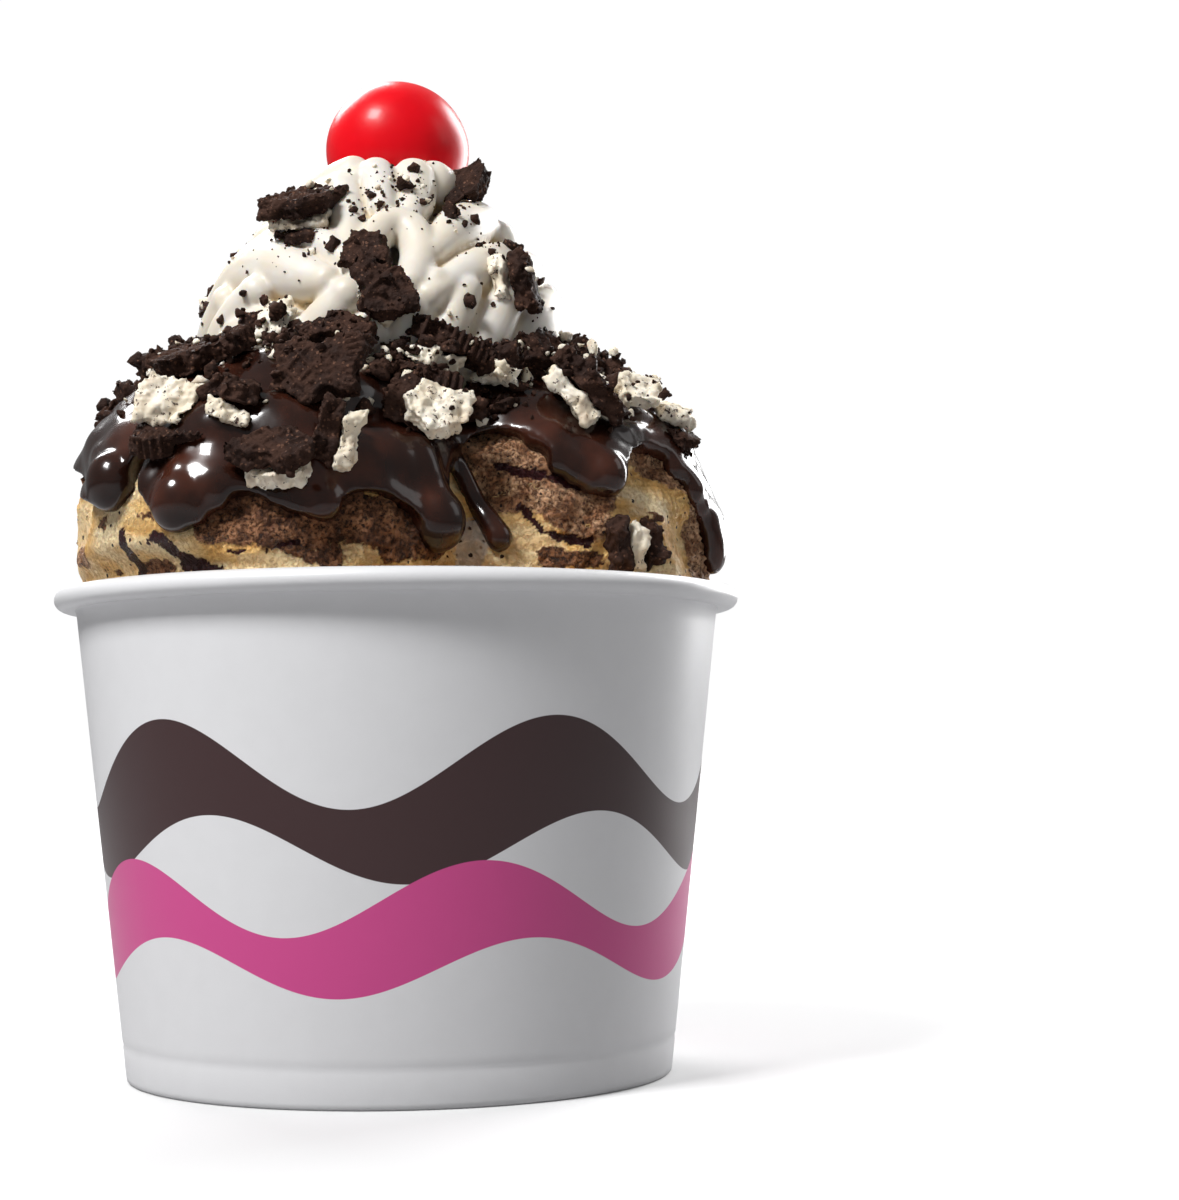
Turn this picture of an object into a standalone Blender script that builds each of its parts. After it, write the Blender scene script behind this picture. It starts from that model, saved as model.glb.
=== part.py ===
"""A hot fudge sundae in a paper cup: three pressed scoops of ice cream, a skin of hot fudge
with drips, broken chocolate sandwich cookies, a piped rosette of whipped cream and a cherry.

Metres, +Z up. The origin is at the middle of the cup's foot, and -Y is the side that shows.
"""
import math
import random

import bmesh
import bpy
from mathutils import Matrix, Vector, noise
from mathutils.bvhtree import BVHTree

MM = 0.001
CLEARANCE = 0.35 * MM
SUNK_CLEARANCE = 0.6 * MM
THINNED_CLEARANCE = 0.15 * MM
WELDS = (0.02 * MM, 0.05 * MM, 0.1 * MM, 0.008 * MM, 0.002 * MM, 0.0)
SHELL_FACTOR_LIMIT = 2.0
SHARP_DEGREES = 40.0

# Paper cup
CUP_HEIGHT = 80.0 * MM
CUP_RIM_RADIUS = 57.0 * MM
CUP_WALL_TOP_RADIUS = 53.6 * MM
CUP_FOOT_RADIUS = 45.0 * MM
CUP_PAPER = 0.6 * MM
CUP_FOOT_PLY = 1.5 * MM
CUP_BASE_RECESS = 3.6 * MM
CUP_BEAD_HALF_WIDTH = 1.9 * MM
CUP_BEAD_HALF_HEIGHT = 1.75 * MM
CUP_STEPS = 52
BEAD_POINTS = 6
BEAD_START_DEGREES = 200.0
BEAD_ARC_DEGREES = 290.0
BEAD_TUCK = 0.2 * MM

# Tools that cut the ice cream and the fudge reach this far from the axis and this high
TOOL_REACH = CUP_RIM_RADIUS + 12.0 * MM
TOOL_TOP = CUP_HEIGHT + 60.0 * MM

# Ice cream: the middle of each scoop, and its radius
SCOOPS = {
    "scoop_left": (Vector((-17.0, -13.8, 84.0)) * MM, 35.0 * MM),
    "scoop_right": (Vector((19.8, -2.8, 85.0)) * MM, 32.5 * MM),
    "scoop_back": (Vector((-2.0, 19.5, 83.0)) * MM, 32.5 * MM),
}
SEAM_DEGREES = (-71.0, 38.0, 150.0)
PLUG_TOP = 77.0 * MM
PLUG_SPARE = 1.0 * MM
PLUG_INSET = 0.5 * MM
PLUG_SUNK = 4.0 * MM
PLUG_SEGMENTS = 96
SCOOP_VOXEL = 2.0 * MM
SCOOP_SOFTENING = 6
SCOOP_CRAG = 2.0 * MM
SCOOP_CRAG_GRAIN = 9.0 * MM
SCOOP_FACES = 1500

# Hot fudge: a skin of this thickness, whose lower edge has these heights at these azimuths
FUDGE_THICKNESS = 2.6 * MM
FUDGE_CROWN_INNER = 20.0 * MM
FUDGE_VOXEL = 0.9 * MM
FUDGE_SOFTENING = 7
FUDGE_FACES = 1500
FUDGE_FINAL_FACES = 2900
FUDGE_EDGE_STEPS = 240
FUDGE_EDGE_HEIGHTS = (
    (-180.0, 98.0 * MM),
    (-165.0, 100.0 * MM),
    (-156.0, 97.5 * MM),
    (-151.5, 95.8 * MM),
    (-146.0, 92.0 * MM),
    (-141.0, 91.0 * MM),
    (-138.0, 92.5 * MM),
    (-135.5, 99.5 * MM),
    (-133.5, 99.5 * MM),
    (-131.5, 91.0 * MM),
    (-129.0, 88.6 * MM),
    (-125.5, 87.0 * MM),
    (-121.5, 88.4 * MM),
    (-118.8, 91.2 * MM),
    (-116.0, 92.0 * MM),
    (-113.0, 91.0 * MM),
    (-109.5, 89.3 * MM),
    (-106.0, 88.2 * MM),
    (-102.5, 87.8 * MM),
    (-100.5, 90.5 * MM),
    (-97.5, 91.9 * MM),
    (-92.5, 91.6 * MM),
    (-89.0, 90.0 * MM),
    (-84.5, 87.0 * MM),
    (-80.5, 87.0 * MM),
    (-77.5, 98.0 * MM),
    (-75.0, 100.5 * MM),
    (-72.0, 101.0 * MM),
    (-69.8, 102.8 * MM),
    (-63.0, 103.2 * MM),
    (-60.2, 102.4 * MM),
    (-57.3, 100.6 * MM),
    (-55.3, 97.8 * MM),
    (-53.3, 95.6 * MM),
    (-48.7, 94.0 * MM),
    (-44.0, 93.6 * MM),
    (-41.6, 95.0 * MM),
    (-40.3, 98.0 * MM),
    (-37.7, 100.6 * MM),
    (-31.7, 101.9 * MM),
    (-27.3, 101.2 * MM),
    (-25.0, 98.4 * MM),
    (-22.5, 95.0 * MM),
    (-19.0, 92.0 * MM),
    (-14.0, 90.5 * MM),
    (-9.0, 91.5 * MM),
    (-4.0, 95.0 * MM),
    (4.0, 93.0 * MM),
    (16.0, 101.0 * MM),
    (30.0, 97.0 * MM),
    (52.0, 104.0 * MM),
    (66.0, 94.0 * MM),
    (82.0, 91.0 * MM),
    (94.0, 100.0 * MM),
    (108.0, 93.0 * MM),
    (121.0, 90.5 * MM),
    (134.0, 98.0 * MM),
    (150.0, 102.0 * MM),
    (164.0, 93.0 * MM),
)

# A drip: where it leaves the fudge, where it ends (azimuth and height), and its end's radius
FUDGE_DRIPS = (
    ((-147.0, 98.5 * MM), (-141.0, 94.6 * MM), 4.4 * MM),
    ((-126.0, 94.0 * MM), (-126.0, 90.5 * MM), 4.5 * MM),
    ((-103.0, 94.0 * MM), (-103.0, 90.2 * MM), 3.0 * MM),
    ((-86.5, 98.0 * MM), (-82.2, 87.9 * MM), 4.6 * MM),
    ((-77.0, 101.0 * MM), (-66.8, 85.9 * MM), 2.3 * MM),
    ((-47.0, 101.0 * MM), (-44.2, 96.3 * MM), 3.6 * MM),
    ((-18.0, 98.0 * MM), (-13.0, 85.0 * MM), 3.0 * MM),
    ((30.0, 98.0 * MM), (32.0, 89.0 * MM), 3.0 * MM),
    ((78.0, 94.0 * MM), (82.0, 88.0 * MM), 3.6 * MM),
    ((62.0, 97.0 * MM), (59.0, 86.0 * MM), 2.5 * MM),
    ((121.0, 94.0 * MM), (121.0, 88.5 * MM), 3.4 * MM),
    ((163.0, 98.0 * MM), (167.0, 86.5 * MM), 3.0 * MM),
    ((-176.0, 99.0 * MM), (-179.0, 90.0 * MM), 2.8 * MM),
)
DRIP_BALLS = 7
DRIP_NECK = 0.72
BULB_SHAPE = (0.85, 1.0, 1.1)
BULB_STANDOUT = 0.3
# The rounded rim that the fudge ends in: a ball every few degrees, whose radius swells and thins
RIM_BALLS = 120
RIM_RADIUS = 2.1 * MM
RIM_SWELL = 0.55
RIM_LIFT = 1.4 * MM

# Whipped cream: petals laid over a core. Each is a tapering rope through points of (azimuth in
# degrees, height and radius in millimetres) that lies just inside the envelope, which is given as
# (height, reach from the axis) in millimetres. The first are the petals of the front. The tiers
# go round the rest: (first azimuth, last azimuth, step, points measured from each azimuth).
CREAM_CENTRE = Vector((-2.2, 0.5, 0.0)) * MM
CREAM_ENVELOPE = (
    (112, 30.0), (120, 31.8), (125, 31.2), (130, 28.8), (134, 26.0), (138, 22.8), (142, 19.2),
    (146, 15.8), (150, 12.8), (154, 9.0),
)
CREAM_PETALS = (
    ((-168, 117, 5.6), (-151, 119.5, 6.6), (-134, 120.5, 6.6), (-118, 118.5, 4.8)),
    ((-124, 114, 5.6), (-112, 119, 5.4), (-102, 125.0, 3.6)),
    ((-105, 115, 4.8), (-100, 117, 4.8), (-95, 119, 4.2)),
    ((-178, 128, 5.6), (-162, 130.5, 6.8), (-144, 131.5, 7.0), (-126, 130, 5.4), (-109, 127.5, 3.2)),
    ((-178, 138.5, 5.0), (-156, 140.0, 5.4), (-138, 140.8, 5.4), (-122, 141.0, 4.6)),
    ((-128, 136.0, 3.4), (-116, 134.8, 3.8), (-106, 132.0, 3.4), (-100, 129.0, 2.6)),
    ((-121, 146, 3.8), (-112, 141.5, 3.8), (-104.5, 136.5, 3.4), (-103, 131.5, 2.6)),
    ((-98, 133.5, 2.6), (-93, 137.0, 3.0), (-84, 138.6, 3.3), (-76, 136.6, 3.4), (-75, 132.0, 3.3),
     (-81, 127.0, 2.8)),
    ((-98, 147.5, 4.0), (-92, 144.5, 3.8), (-91, 141.0, 3.0)),
    ((-64, 147.5, 4.2), (-71, 144.0, 3.9), (-77, 140.5, 3.0)),
    ((-24, 141, 4.6), (-46, 138.8, 4.6), (-62, 136.0, 3.9), (-72, 133.0, 2.8)),
    ((-8, 133.0, 5.4), (-32, 132.6, 5.2), (-52, 130.8, 4.4), (-66, 128.0, 3.6), (-76, 125.0, 2.6)),
    ((-87, 115, 4.2), (-81, 121.5, 4.0), (-73, 127.5, 2.9)),
    ((-73, 115, 4.4), (-69, 121, 4.2), (-63, 126.5, 3.2)),
    ((-59, 115, 5.0), (-54, 120.5, 4.8), (-46, 126.0, 3.8)),
    ((-44, 115, 5.6), (-36, 119.5, 5.6), (-25, 124, 5.0), (-13, 127.0, 4.2)),
    ((-30, 114, 5.6), (-16, 117.0, 6.2), (0, 119.5, 6.0), (13, 121.5, 5.0)),
    ((-42, 148.0, 4.0), (-20, 146.5, 4.2), (2, 144.5, 4.0)),
    ((-152, 146.0, 3.8), (-134, 147.5, 4.0), (-119, 148.5, 3.6)),
)
CREAM_TIERS = (
    (10, 196, 20, ((0, 114.5, 5.8), (11, 119, 6.0), (22, 123.5, 5.2), (32, 127.0, 3.8))),
    (0, 180, 25, ((0, 128.5, 5.4), (18, 131.5, 5.6), (36, 135.0, 4.8), (50, 138.0, 3.6))),
    (-10, 200, 32, ((0, 138.5, 4.8), (24, 141.5, 4.9), (46, 144.5, 4.2), (66, 147.0, 3.4))),
)
CREAM_INSET = 0.92
CREAM_CORE_RADII = (26.0 * MM, 10.0 * MM)
CREAM_CORE_DEPTH = 34.0 * MM
CREAM_CORE_MIDDLE = 129.0 * MM
CREAM_CORE_SEGMENTS = 32
CREAM_CROWN_RADIUS = 12.0 * MM
CREAM_CROWN_HEIGHT = 138.0 * MM
CREAM_VOXEL = 1.0 * MM
CREAM_SOFTENING = 2
CREAM_FACES = 1550

# Broken chocolate sandwich cookies. A wafer and the creme between two wafers:
WAFER_RADIUS = 22.5 * MM
WAFER = 3.4 * MM
CREME = 2.8 * MM
THIN_CREME = 1.5 * MM
LAYERS = {
    "w": ("wafer", WAFER),
    "c": ("creme", CREME),
    "t": ("creme", THIN_CREME),
    "u": ("wafer_under", WAFER),
}
# The creme's disc is smaller than the wafers', and more so round a chunk that is broken all round
CREME_SHARE = (0.74, 0.94)
CREME_INSET = (2.0 * MM, 3.2 * MM)
SPOKE_SHARE = (0.66, 1.10)
CRUMBLE = 0.7 * MM
CRUMBLE_RISE = 0.4
CAP_BUMP = 0.3 * MM
RIM_SNAP = 1.06
CHUNK_SPOKES = 12
CHUNK_FACES = 80

# Each chunk: the middle of its stack in millimetres; the azimuth that its face leans towards
# and how far, from facing up; the azimuth of its rim; half its depth from rim to break, and
# half its width; its layers from the underside up. A rim of None is broken all round.
CHUNKS = {
    "sunk_right": ((36.0, -29.0, 85.0), (35, 82), None, (5.5, 4.6), "ucw"),
    "slab_right": ((28.9, -29.5, 109.7), (-8, 48), None, (7.5, 4.8), "cw"),
    "shoulder_right": ((46.2, -15.5, 105.4), (-35, 30), -20, (4.8, 5.1), "wc"),
    "cookie_front": ((-11.5, -42.0, 110.1), (-112, 78), -22, (9.0, 5.9), "cw"),
    "shelf_left": ((-32.7, -41.1, 101.0), (-100, 26), -95, (6.6, 8.6), "w"),
    "flake_left": ((-34.1, -41.5, 105.9), (-95, 74), None, (5.3, 5.7), "c"),
    "chunk_left": ((-24.8, -43.0, 105.3), (10, 20), None, (4.6, 6.2), "cw"),
    "shard_left": ((-30.6, -31.0, 115.2), (-140, 30), -20, (9.0, 5.5), "w"),
    "wedge_front": ((-9.1, -49.0, 100.3), (5, 105), None, (5.5, 4.0), "wc"),
    "chunk_front": ((-18.1, -50.0, 96.3), (-100, 38), None, (4.8, 7.3), "cw"),
    "sliver_front": ((-8.5, -32.5, 118.5), (-95, 40), None, (4.0, 7.7), "w"),
    "lump_front": ((3.0, -39.0, 105.9), (-70, 62), 160, (6.4, 5.7), "wc"),
    "lens_front": ((5.3, -33.5, 112.4), (10, 15), -85, (3.7, 5.9), "wc"),
    "bar_front": ((7.8, -30.0, 117.3), (15, 24), -80, (4.2, 7.9), "w"),
    "patch_right": ((15.5, -27.5, 113.5), (60, 22), None, (3.7, 5.3), "cw"),
    "chip_right": ((23.0, -21.5, 117.0), (-60, 62), -150, (4.6, 4.0), "w"),
    "flake_right": ((38.0, -20.5, 111.5), (-60, 52), None, (4.0, 4.4), "c"),
    "crumble_left": ((-19.4, -26.4, 121.2), (-110, 60), None, (4.2, 3.5), "c"),
    "cube_left": ((-15.3, -18.4, 139.4), (-110, 28), None, (5.9, 6.0), "utw"),
    "shield_front": ((-2.2, -31.0, 124.5), (-85, 74), None, (6.2, 5.3), "cw"),
    "crumble_front": ((-5.2, -27.6, 131.6), (-100, 58), None, (4.8, 4.0), "w"),
    "cube_top": ((11.0, -7.0, 147.0), (-122, 62), None, (5.1, 4.9), "tw"),
    "block_right": ((18.7, -21.3, 128.7), (-14, 80), None, (6.8, 5.0), "cw"),
    "fin_left": ((-30.8, 4.0, 129.6), (-160, 78), -80, (4.4, 3.7), "w"),
    "back_right": ((42.0, 14.0, 110.5), (20, 42), 60, (5.9, 5.5), "wc"),
    "back_valley": ((22.5, 22.0, 114.0), (50, 24), None, (5.9, 4.6), "w"),
    "back_slab": ((13.0, 40.0, 110.0), (80, 48), 100, (7.0, 5.9), "cw"),
    "back_shard": ((-8.0, 39.0, 114.0), (110, 24), 150, (7.9, 5.1), "w"),
    "back_chunk": ((-26.5, 33.0, 109.5), (125, 50), None, (5.7, 5.5), "wc"),
    "back_chip": ((-35.5, 13.0, 108.5), (160, 36), 190, (5.5, 4.6), "w"),
    "back_shelf": ((-45.5, -5.0, 110.5), (185, 42), 180, (6.2, 6.2), "w"),
    "cream_back": ((9.8, 24.8, 133.5), (80, 66), None, (5.5, 4.6), "w"),
    "cream_side": ((-18.4, 19.8, 136.5), (140, 50), None, (4.8, 4.2), "w"),
}

# Crumbs as large as peas, fused to the fudge and to the cream by a seeded rule
CRUMB_SEED = 11
CRUMBS = {
    "hot_fudge": (28, (104.0 * MM, 118.0 * MM), (1.4 * MM, 2.8 * MM)),
    "whipped_cream": (12, (127.0 * MM, 149.0 * MM), (1.0 * MM, 1.8 * MM)),
}
CRUMB_UNEVENNESS = (0.75, 1.2)
CRUMB_STANDOUT = 0.35
GOLDEN_ANGLE = math.pi * (3 - math.sqrt(5))

# Cherry
CHERRY_CENTRE = Vector((0.0, 5.5, 157.0)) * MM
CHERRY_RADIUS = 12.3 * MM
CHERRY_SQUASH = 0.97
CHERRY_DIMPLE_AT = Vector((0, 0.35, 0.94))
CHERRY_DIMPLE_WIDTH = 0.3
CHERRY_DIMPLE = 0.09
CHERRY_BULGE = 0.02
CHERRY_BULGE_GRAIN = 9.0 * MM


def clear_scene():
    for obj in list(bpy.data.objects):
        bpy.data.objects.remove(obj)


def make_collection(name):
    collection = bpy.data.collections.new(name)
    bpy.context.scene.collection.children.link(collection)
    return collection


def material(name, colour, roughness, metallic=0.0):
    made = bpy.data.materials.new(name)
    made.use_nodes = True
    shader = made.node_tree.nodes["Principled BSDF"]
    shader.inputs["Base Color"].default_value = (*colour, 1.0)
    shader.inputs["Roughness"].default_value = roughness
    shader.inputs["Metallic"].default_value = metallic
    return made


def add_object(name, mesh, collection):
    obj = bpy.data.objects.new(name, mesh)
    collection.objects.link(obj)
    return obj


def object_from_bmesh(name, bm, collection):
    mesh = bpy.data.meshes.new(name)
    bm.to_mesh(mesh)
    bm.free()
    return add_object(name, mesh, collection)


def apply_modifiers(obj):
    graph = bpy.context.evaluated_depsgraph_get()
    mesh = bpy.data.meshes.new_from_object(obj.evaluated_get(graph))
    obj.modifiers.clear()
    old = obj.data
    obj.data = mesh
    bpy.data.meshes.remove(old)


def boolean(obj, other, operation, solver="MANIFOLD"):
    modifier = obj.modifiers.new("Fit", "BOOLEAN")
    modifier.operation = operation
    modifier.solver = solver
    modifier.object = other
    apply_modifiers(obj)


def remesh(obj, voxel):
    modifier = obj.modifiers.new("Blend", "REMESH")
    modifier.mode = "VOXEL"
    modifier.voxel_size = voxel
    apply_modifiers(obj)


def smooth(obj, rounds, factor=0.5):
    modifier = obj.modifiers.new("Soften", "SMOOTH")
    modifier.iterations = rounds
    modifier.factor = factor
    apply_modifiers(obj)


def decimate(obj, faces):
    triangles = sum(len(p.vertices) - 2 for p in obj.data.polygons)
    modifier = obj.modifiers.new("Fewer", "DECIMATE")
    modifier.ratio = min(1.0, faces / triangles)
    apply_modifiers(obj)


def islands(bm):
    """The sets of faces that meet along edges."""
    left = set(bm.faces)
    while left:
        found = [left.pop()]
        for face in found:
            for edge in face.edges:
                for other in edge.link_faces if edge.is_manifold else ():
                    if other in left:
                        left.remove(other)
                        found.append(other)
        yield found


def area(faces):
    return sum(face.calc_area() for face in faces)


def keep_largest(obj):
    """Leaves one closed body, without the slivers and scraps that a cut breaks off."""
    for weld in WELDS:
        bm = bmesh.new()
        bm.from_mesh(obj.data)
        bmesh.ops.remove_doubles(bm, verts=bm.verts, dist=weld)
        bmesh.ops.dissolve_degenerate(bm, edges=bm.edges, dist=weld)
        bmesh.ops.triangulate(bm, faces=bm.faces)
        scraps = sorted(islands(bm), key=area)[:-1]
        if scraps:
            loose = [face for scrap in scraps for face in scrap]
            bmesh.ops.delete(bm, geom=loose, context="FACES")
        closed = all(edge.is_manifold for edge in bm.edges)
        if closed:
            bm.to_mesh(obj.data)
        bm.free()
        if closed:
            return


def thin_out(obj, faces):
    """Fewer triangles on a solid that has been cut, and still one body."""
    if len(obj.data.polygons) > faces:
        decimate(obj, faces)
        keep_largest(obj)


def inflated(obj, distance, collection):
    """A copy of a solid whose skin stands further out, to cut its neighbours with a gap."""
    bm = bmesh.new()
    bm.from_mesh(obj.data)
    bm.normal_update()
    offsets = [
        vert.normal * distance * min(vert.calc_shell_factor(), SHELL_FACTOR_LIMIT)
        for vert in bm.verts
    ]
    for vert, offset in zip(bm.verts, offsets):
        vert.co += offset
    cutter = object_from_bmesh(obj.name + "_room", bm, collection)
    hide(cutter)
    return cutter


def hide(obj):
    obj.hide_render = True
    obj.display_type = "WIRE"


def remove(obj):
    mesh = obj.data
    bpy.data.objects.remove(obj)
    bpy.data.meshes.remove(mesh)


def extent(obj):
    points = [vert.co for vert in obj.data.vertices]
    low = Vector([min(point[k] for point in points) for k in range(3)])
    high = Vector([max(point[k] for point in points) for k in range(3)])
    return low, high


def near(obj, other):
    """Whether the boxes of two solids come within twice the clearance of each other."""
    (low, high), (other_low, other_high) = extent(obj), extent(other)
    gap = 2 * CLEARANCE
    return all(low[k] < other_high[k] + gap and other_low[k] < high[k] + gap for k in range(3))


def fit(obj, neighbours, cutters, clearance=CLEARANCE):
    """Cuts a solid back to leave the clearance round each neighbour."""
    for neighbour in neighbours:
        if near(obj, neighbour):
            room = inflated(neighbour, clearance, cutters)
            boolean(obj, room, "DIFFERENCE")
            remove(room)
    keep_largest(obj)


def joined(name, objects, collection):
    """One object that holds the meshes of several, which are removed."""
    bm = bmesh.new()
    for obj in objects:
        bm.from_mesh(obj.data)
        remove(obj)
    return object_from_bmesh(name, bm, collection)


def turned(name, profile, collection, steps=CUP_STEPS):
    """A profile of (radius, height), running down its outer side, spun about the axis."""
    bm = bmesh.new()
    verts = [bm.verts.new((radius, 0, height)) for radius, height in profile]
    for first, second in zip(verts, verts[1:]):
        bm.edges.new((first, second))
    if profile[0][0] > 0 or profile[-1][0] > 0:
        bm.edges.new((verts[-1], verts[0]))
    obj = object_from_bmesh(name, bm, collection)
    screw = obj.modifiers.new("Turn", "SCREW")
    screw.steps = steps
    screw.render_steps = steps
    screw.use_merge_vertices = True
    screw.merge_threshold = 0.01 * MM
    apply_modifiers(obj)
    return obj


def wall_radius(height):
    """The outside of the cup's tapered wall at a height."""
    share = height / (CUP_HEIGHT - CUP_BEAD_HALF_HEIGHT)
    return CUP_FOOT_RADIUS + (CUP_WALL_TOP_RADIUS - CUP_FOOT_RADIUS) * share


def make_cup(collection):
    bead_radius = CUP_RIM_RADIUS - CUP_BEAD_HALF_WIDTH
    bead_height = CUP_HEIGHT - CUP_BEAD_HALF_HEIGHT
    disc_under = CUP_BASE_RECESS
    disc_over = CUP_BASE_RECESS + CUP_PAPER
    profile = [(0.0, disc_over), (wall_radius(disc_over) - CUP_PAPER, disc_over)]
    inner_top = bead_height - CUP_BEAD_HALF_HEIGHT
    profile.append((wall_radius(inner_top) - CUP_PAPER, inner_top))
    for step in range(BEAD_POINTS + 1):
        angle = math.radians(BEAD_START_DEGREES - BEAD_ARC_DEGREES * step / BEAD_POINTS)
        profile.append(
            (
                bead_radius + CUP_BEAD_HALF_WIDTH * math.cos(angle),
                bead_height + CUP_BEAD_HALF_HEIGHT * math.sin(angle),
            )
        )
    under_bead = bead_height - CUP_BEAD_HALF_HEIGHT
    profile.append((wall_radius(under_bead), under_bead - BEAD_TUCK))
    profile.append((CUP_FOOT_RADIUS, 0.0))
    profile.append((CUP_FOOT_RADIUS - CUP_FOOT_PLY, 0.0))
    profile.append((CUP_FOOT_RADIUS - CUP_FOOT_PLY, disc_under))
    profile.append((0.0, disc_under))
    cup = turned("cup", profile, collection)
    bm = bmesh.new()
    bm.from_mesh(cup.data)
    bmesh.ops.recalc_face_normals(bm, faces=bm.faces)
    bm.to_mesh(cup.data)
    bm.free()
    return cup


def make_cup_space(collection):
    """All that the cup leaves free: its inside, less the clearance, and the air above its rim."""
    floor = CUP_BASE_RECESS + CUP_PAPER + CLEARANCE
    rim = CUP_HEIGHT + CLEARANCE
    inset = CUP_PAPER + CLEARANCE
    neck = CUP_HEIGHT - 2 * CUP_BEAD_HALF_HEIGHT
    profile = [
        (0.0, TOOL_TOP),
        (TOOL_REACH, TOOL_TOP),
        (TOOL_REACH, rim),
        (wall_radius(neck) - inset, rim),
        (wall_radius(neck) - inset, neck),
        (wall_radius(floor) - inset, floor),
        (0.0, floor),
    ]
    space = turned("cup_space", profile, collection)
    hide(space)
    return space


def ball(name, centre, radius, collection, subdivisions=4):
    bm = bmesh.new()
    bmesh.ops.create_icosphere(bm, subdivisions=subdivisions, radius=radius)
    bmesh.ops.translate(bm, verts=bm.verts, vec=centre)
    return object_from_bmesh(name, bm, collection)


def craggy(obj, depth, grain, seed):
    """Moves a skin in and out by smooth noise whose lumps are about one grain across."""
    shift = Vector((seed, seed * 1.7, seed * 0.3))
    mesh = obj.data
    moves = [
        vert.normal * depth * noise.fractal(vert.co / grain + shift, 0.9, 2.0, 3)
        for vert in mesh.vertices
    ]
    for vert, move in zip(mesh.vertices, moves):
        vert.co += move
    mesh.update()


def make_ice_cream(cutters):
    """The pressed mass of ice cream, fine, before it is cut at the seams between the scoops."""
    parts = [
        ball(name + "_ball", centre, radius, cutters)
        for name, (centre, radius) in SCOOPS.items()
    ]
    floor = CUP_BASE_RECESS
    bm = bmesh.new()
    bmesh.ops.create_cone(
        bm,
        cap_ends=True,
        segments=PLUG_SEGMENTS,
        radius1=wall_radius(floor) + PLUG_SPARE,
        radius2=wall_radius(PLUG_TOP) - PLUG_INSET,
        depth=PLUG_TOP - floor + PLUG_SUNK,
    )
    middle = Vector((0, 0, (PLUG_TOP + floor - PLUG_SUNK) / 2))
    bmesh.ops.translate(bm, verts=bm.verts, vec=middle)
    parts.append(object_from_bmesh("plug", bm, cutters))
    mass = joined("ice_cream_mass", parts, cutters)
    remesh(mass, SCOOP_VOXEL)
    smooth(mass, SCOOP_SOFTENING)
    craggy(mass, SCOOP_CRAG, SCOOP_CRAG_GRAIN, seed=3.0)
    hide(mass)
    return mass


def make_scoops(mass, collection, cutters):
    whole = add_object("scoops", mass.data.copy(), cutters)
    decimate(whole, SCOOP_FACES)
    space = make_cup_space(cutters)
    boolean(whole, space, "INTERSECT")
    remove(space)
    for degrees in SEAM_DEGREES:
        bm = bmesh.new()
        bmesh.ops.create_cube(bm, size=1.0)
        bmesh.ops.scale(bm, vec=(TOOL_REACH, CLEARANCE, 2 * TOOL_TOP), verts=bm.verts)
        bmesh.ops.translate(bm, verts=bm.verts, vec=((TOOL_REACH - CLEARANCE) / 2, 0, 0))
        turn = Matrix.Rotation(math.radians(degrees), 3, "Z")
        bmesh.ops.rotate(bm, verts=bm.verts, cent=(0, 0, 0), matrix=turn)
        slab = object_from_bmesh("seam", bm, cutters)
        boolean(whole, slab, "DIFFERENCE")
        remove(slab)
    bm = bmesh.new()
    bm.from_mesh(whole.data)
    parts = sorted(islands(bm), key=area)[-len(SCOOPS):]
    middles = [
        sum((face.calc_center_median() for face in part), Vector()) / len(part) for part in parts
    ]
    members = [{face.index for face in part} for part in parts]
    bm.free()
    scoops = []
    for name, (centre, _) in SCOOPS.items():
        azimuth = math.atan2(centre.y, centre.x)
        turns = [abs(math.remainder(math.atan2(m.y, m.x) - azimuth, math.tau)) for m in middles]
        wanted = members[turns.index(min(turns))]
        bm = bmesh.new()
        bm.from_mesh(whole.data)
        rest = [face for face in bm.faces if face.index not in wanted]
        bmesh.ops.delete(bm, geom=rest, context="FACES")
        scoops.append(object_from_bmesh(name, bm, collection))
    remove(whole)
    return scoops


def edge_height(degrees):
    """The fudge's lower edge at an azimuth: smooth between the named heights."""
    points = list(FUDGE_EDGE_HEIGHTS)
    points.append((points[0][0] + 360.0, points[0][1]))
    for (left, low), (right, high) in zip(points, points[1:]):
        if left <= degrees <= right:
            share = (degrees - left) / (right - left)
            share = share * share * (3 - 2 * share)
            return low + (high - low) * share
    return points[0][1]


def rim_bulbs():
    """The azimuth, height and radius of each ball of the fudge's rounded rim."""
    for k in range(RIM_BALLS):
        degrees = -180.0 + 360.0 * k / RIM_BALLS
        swell = RIM_SWELL * noise.noise(Vector((k * 0.35, 4.2, 0.7)))
        yield degrees, edge_height(degrees) + RIM_LIFT, RIM_RADIUS * (1 + swell)


def drip_bulbs():
    """The azimuth, height and radius of each ball of the drips, which swell towards their ends."""
    for start, end, radius in FUDGE_DRIPS:
        for k in range(DRIP_BALLS):
            share = k / (DRIP_BALLS - 1)
            degrees, height = (a + (b - a) * share for a, b in zip(start, end))
            yield degrees, height, radius * (DRIP_NECK + (1 - DRIP_NECK) * share**3)


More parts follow.
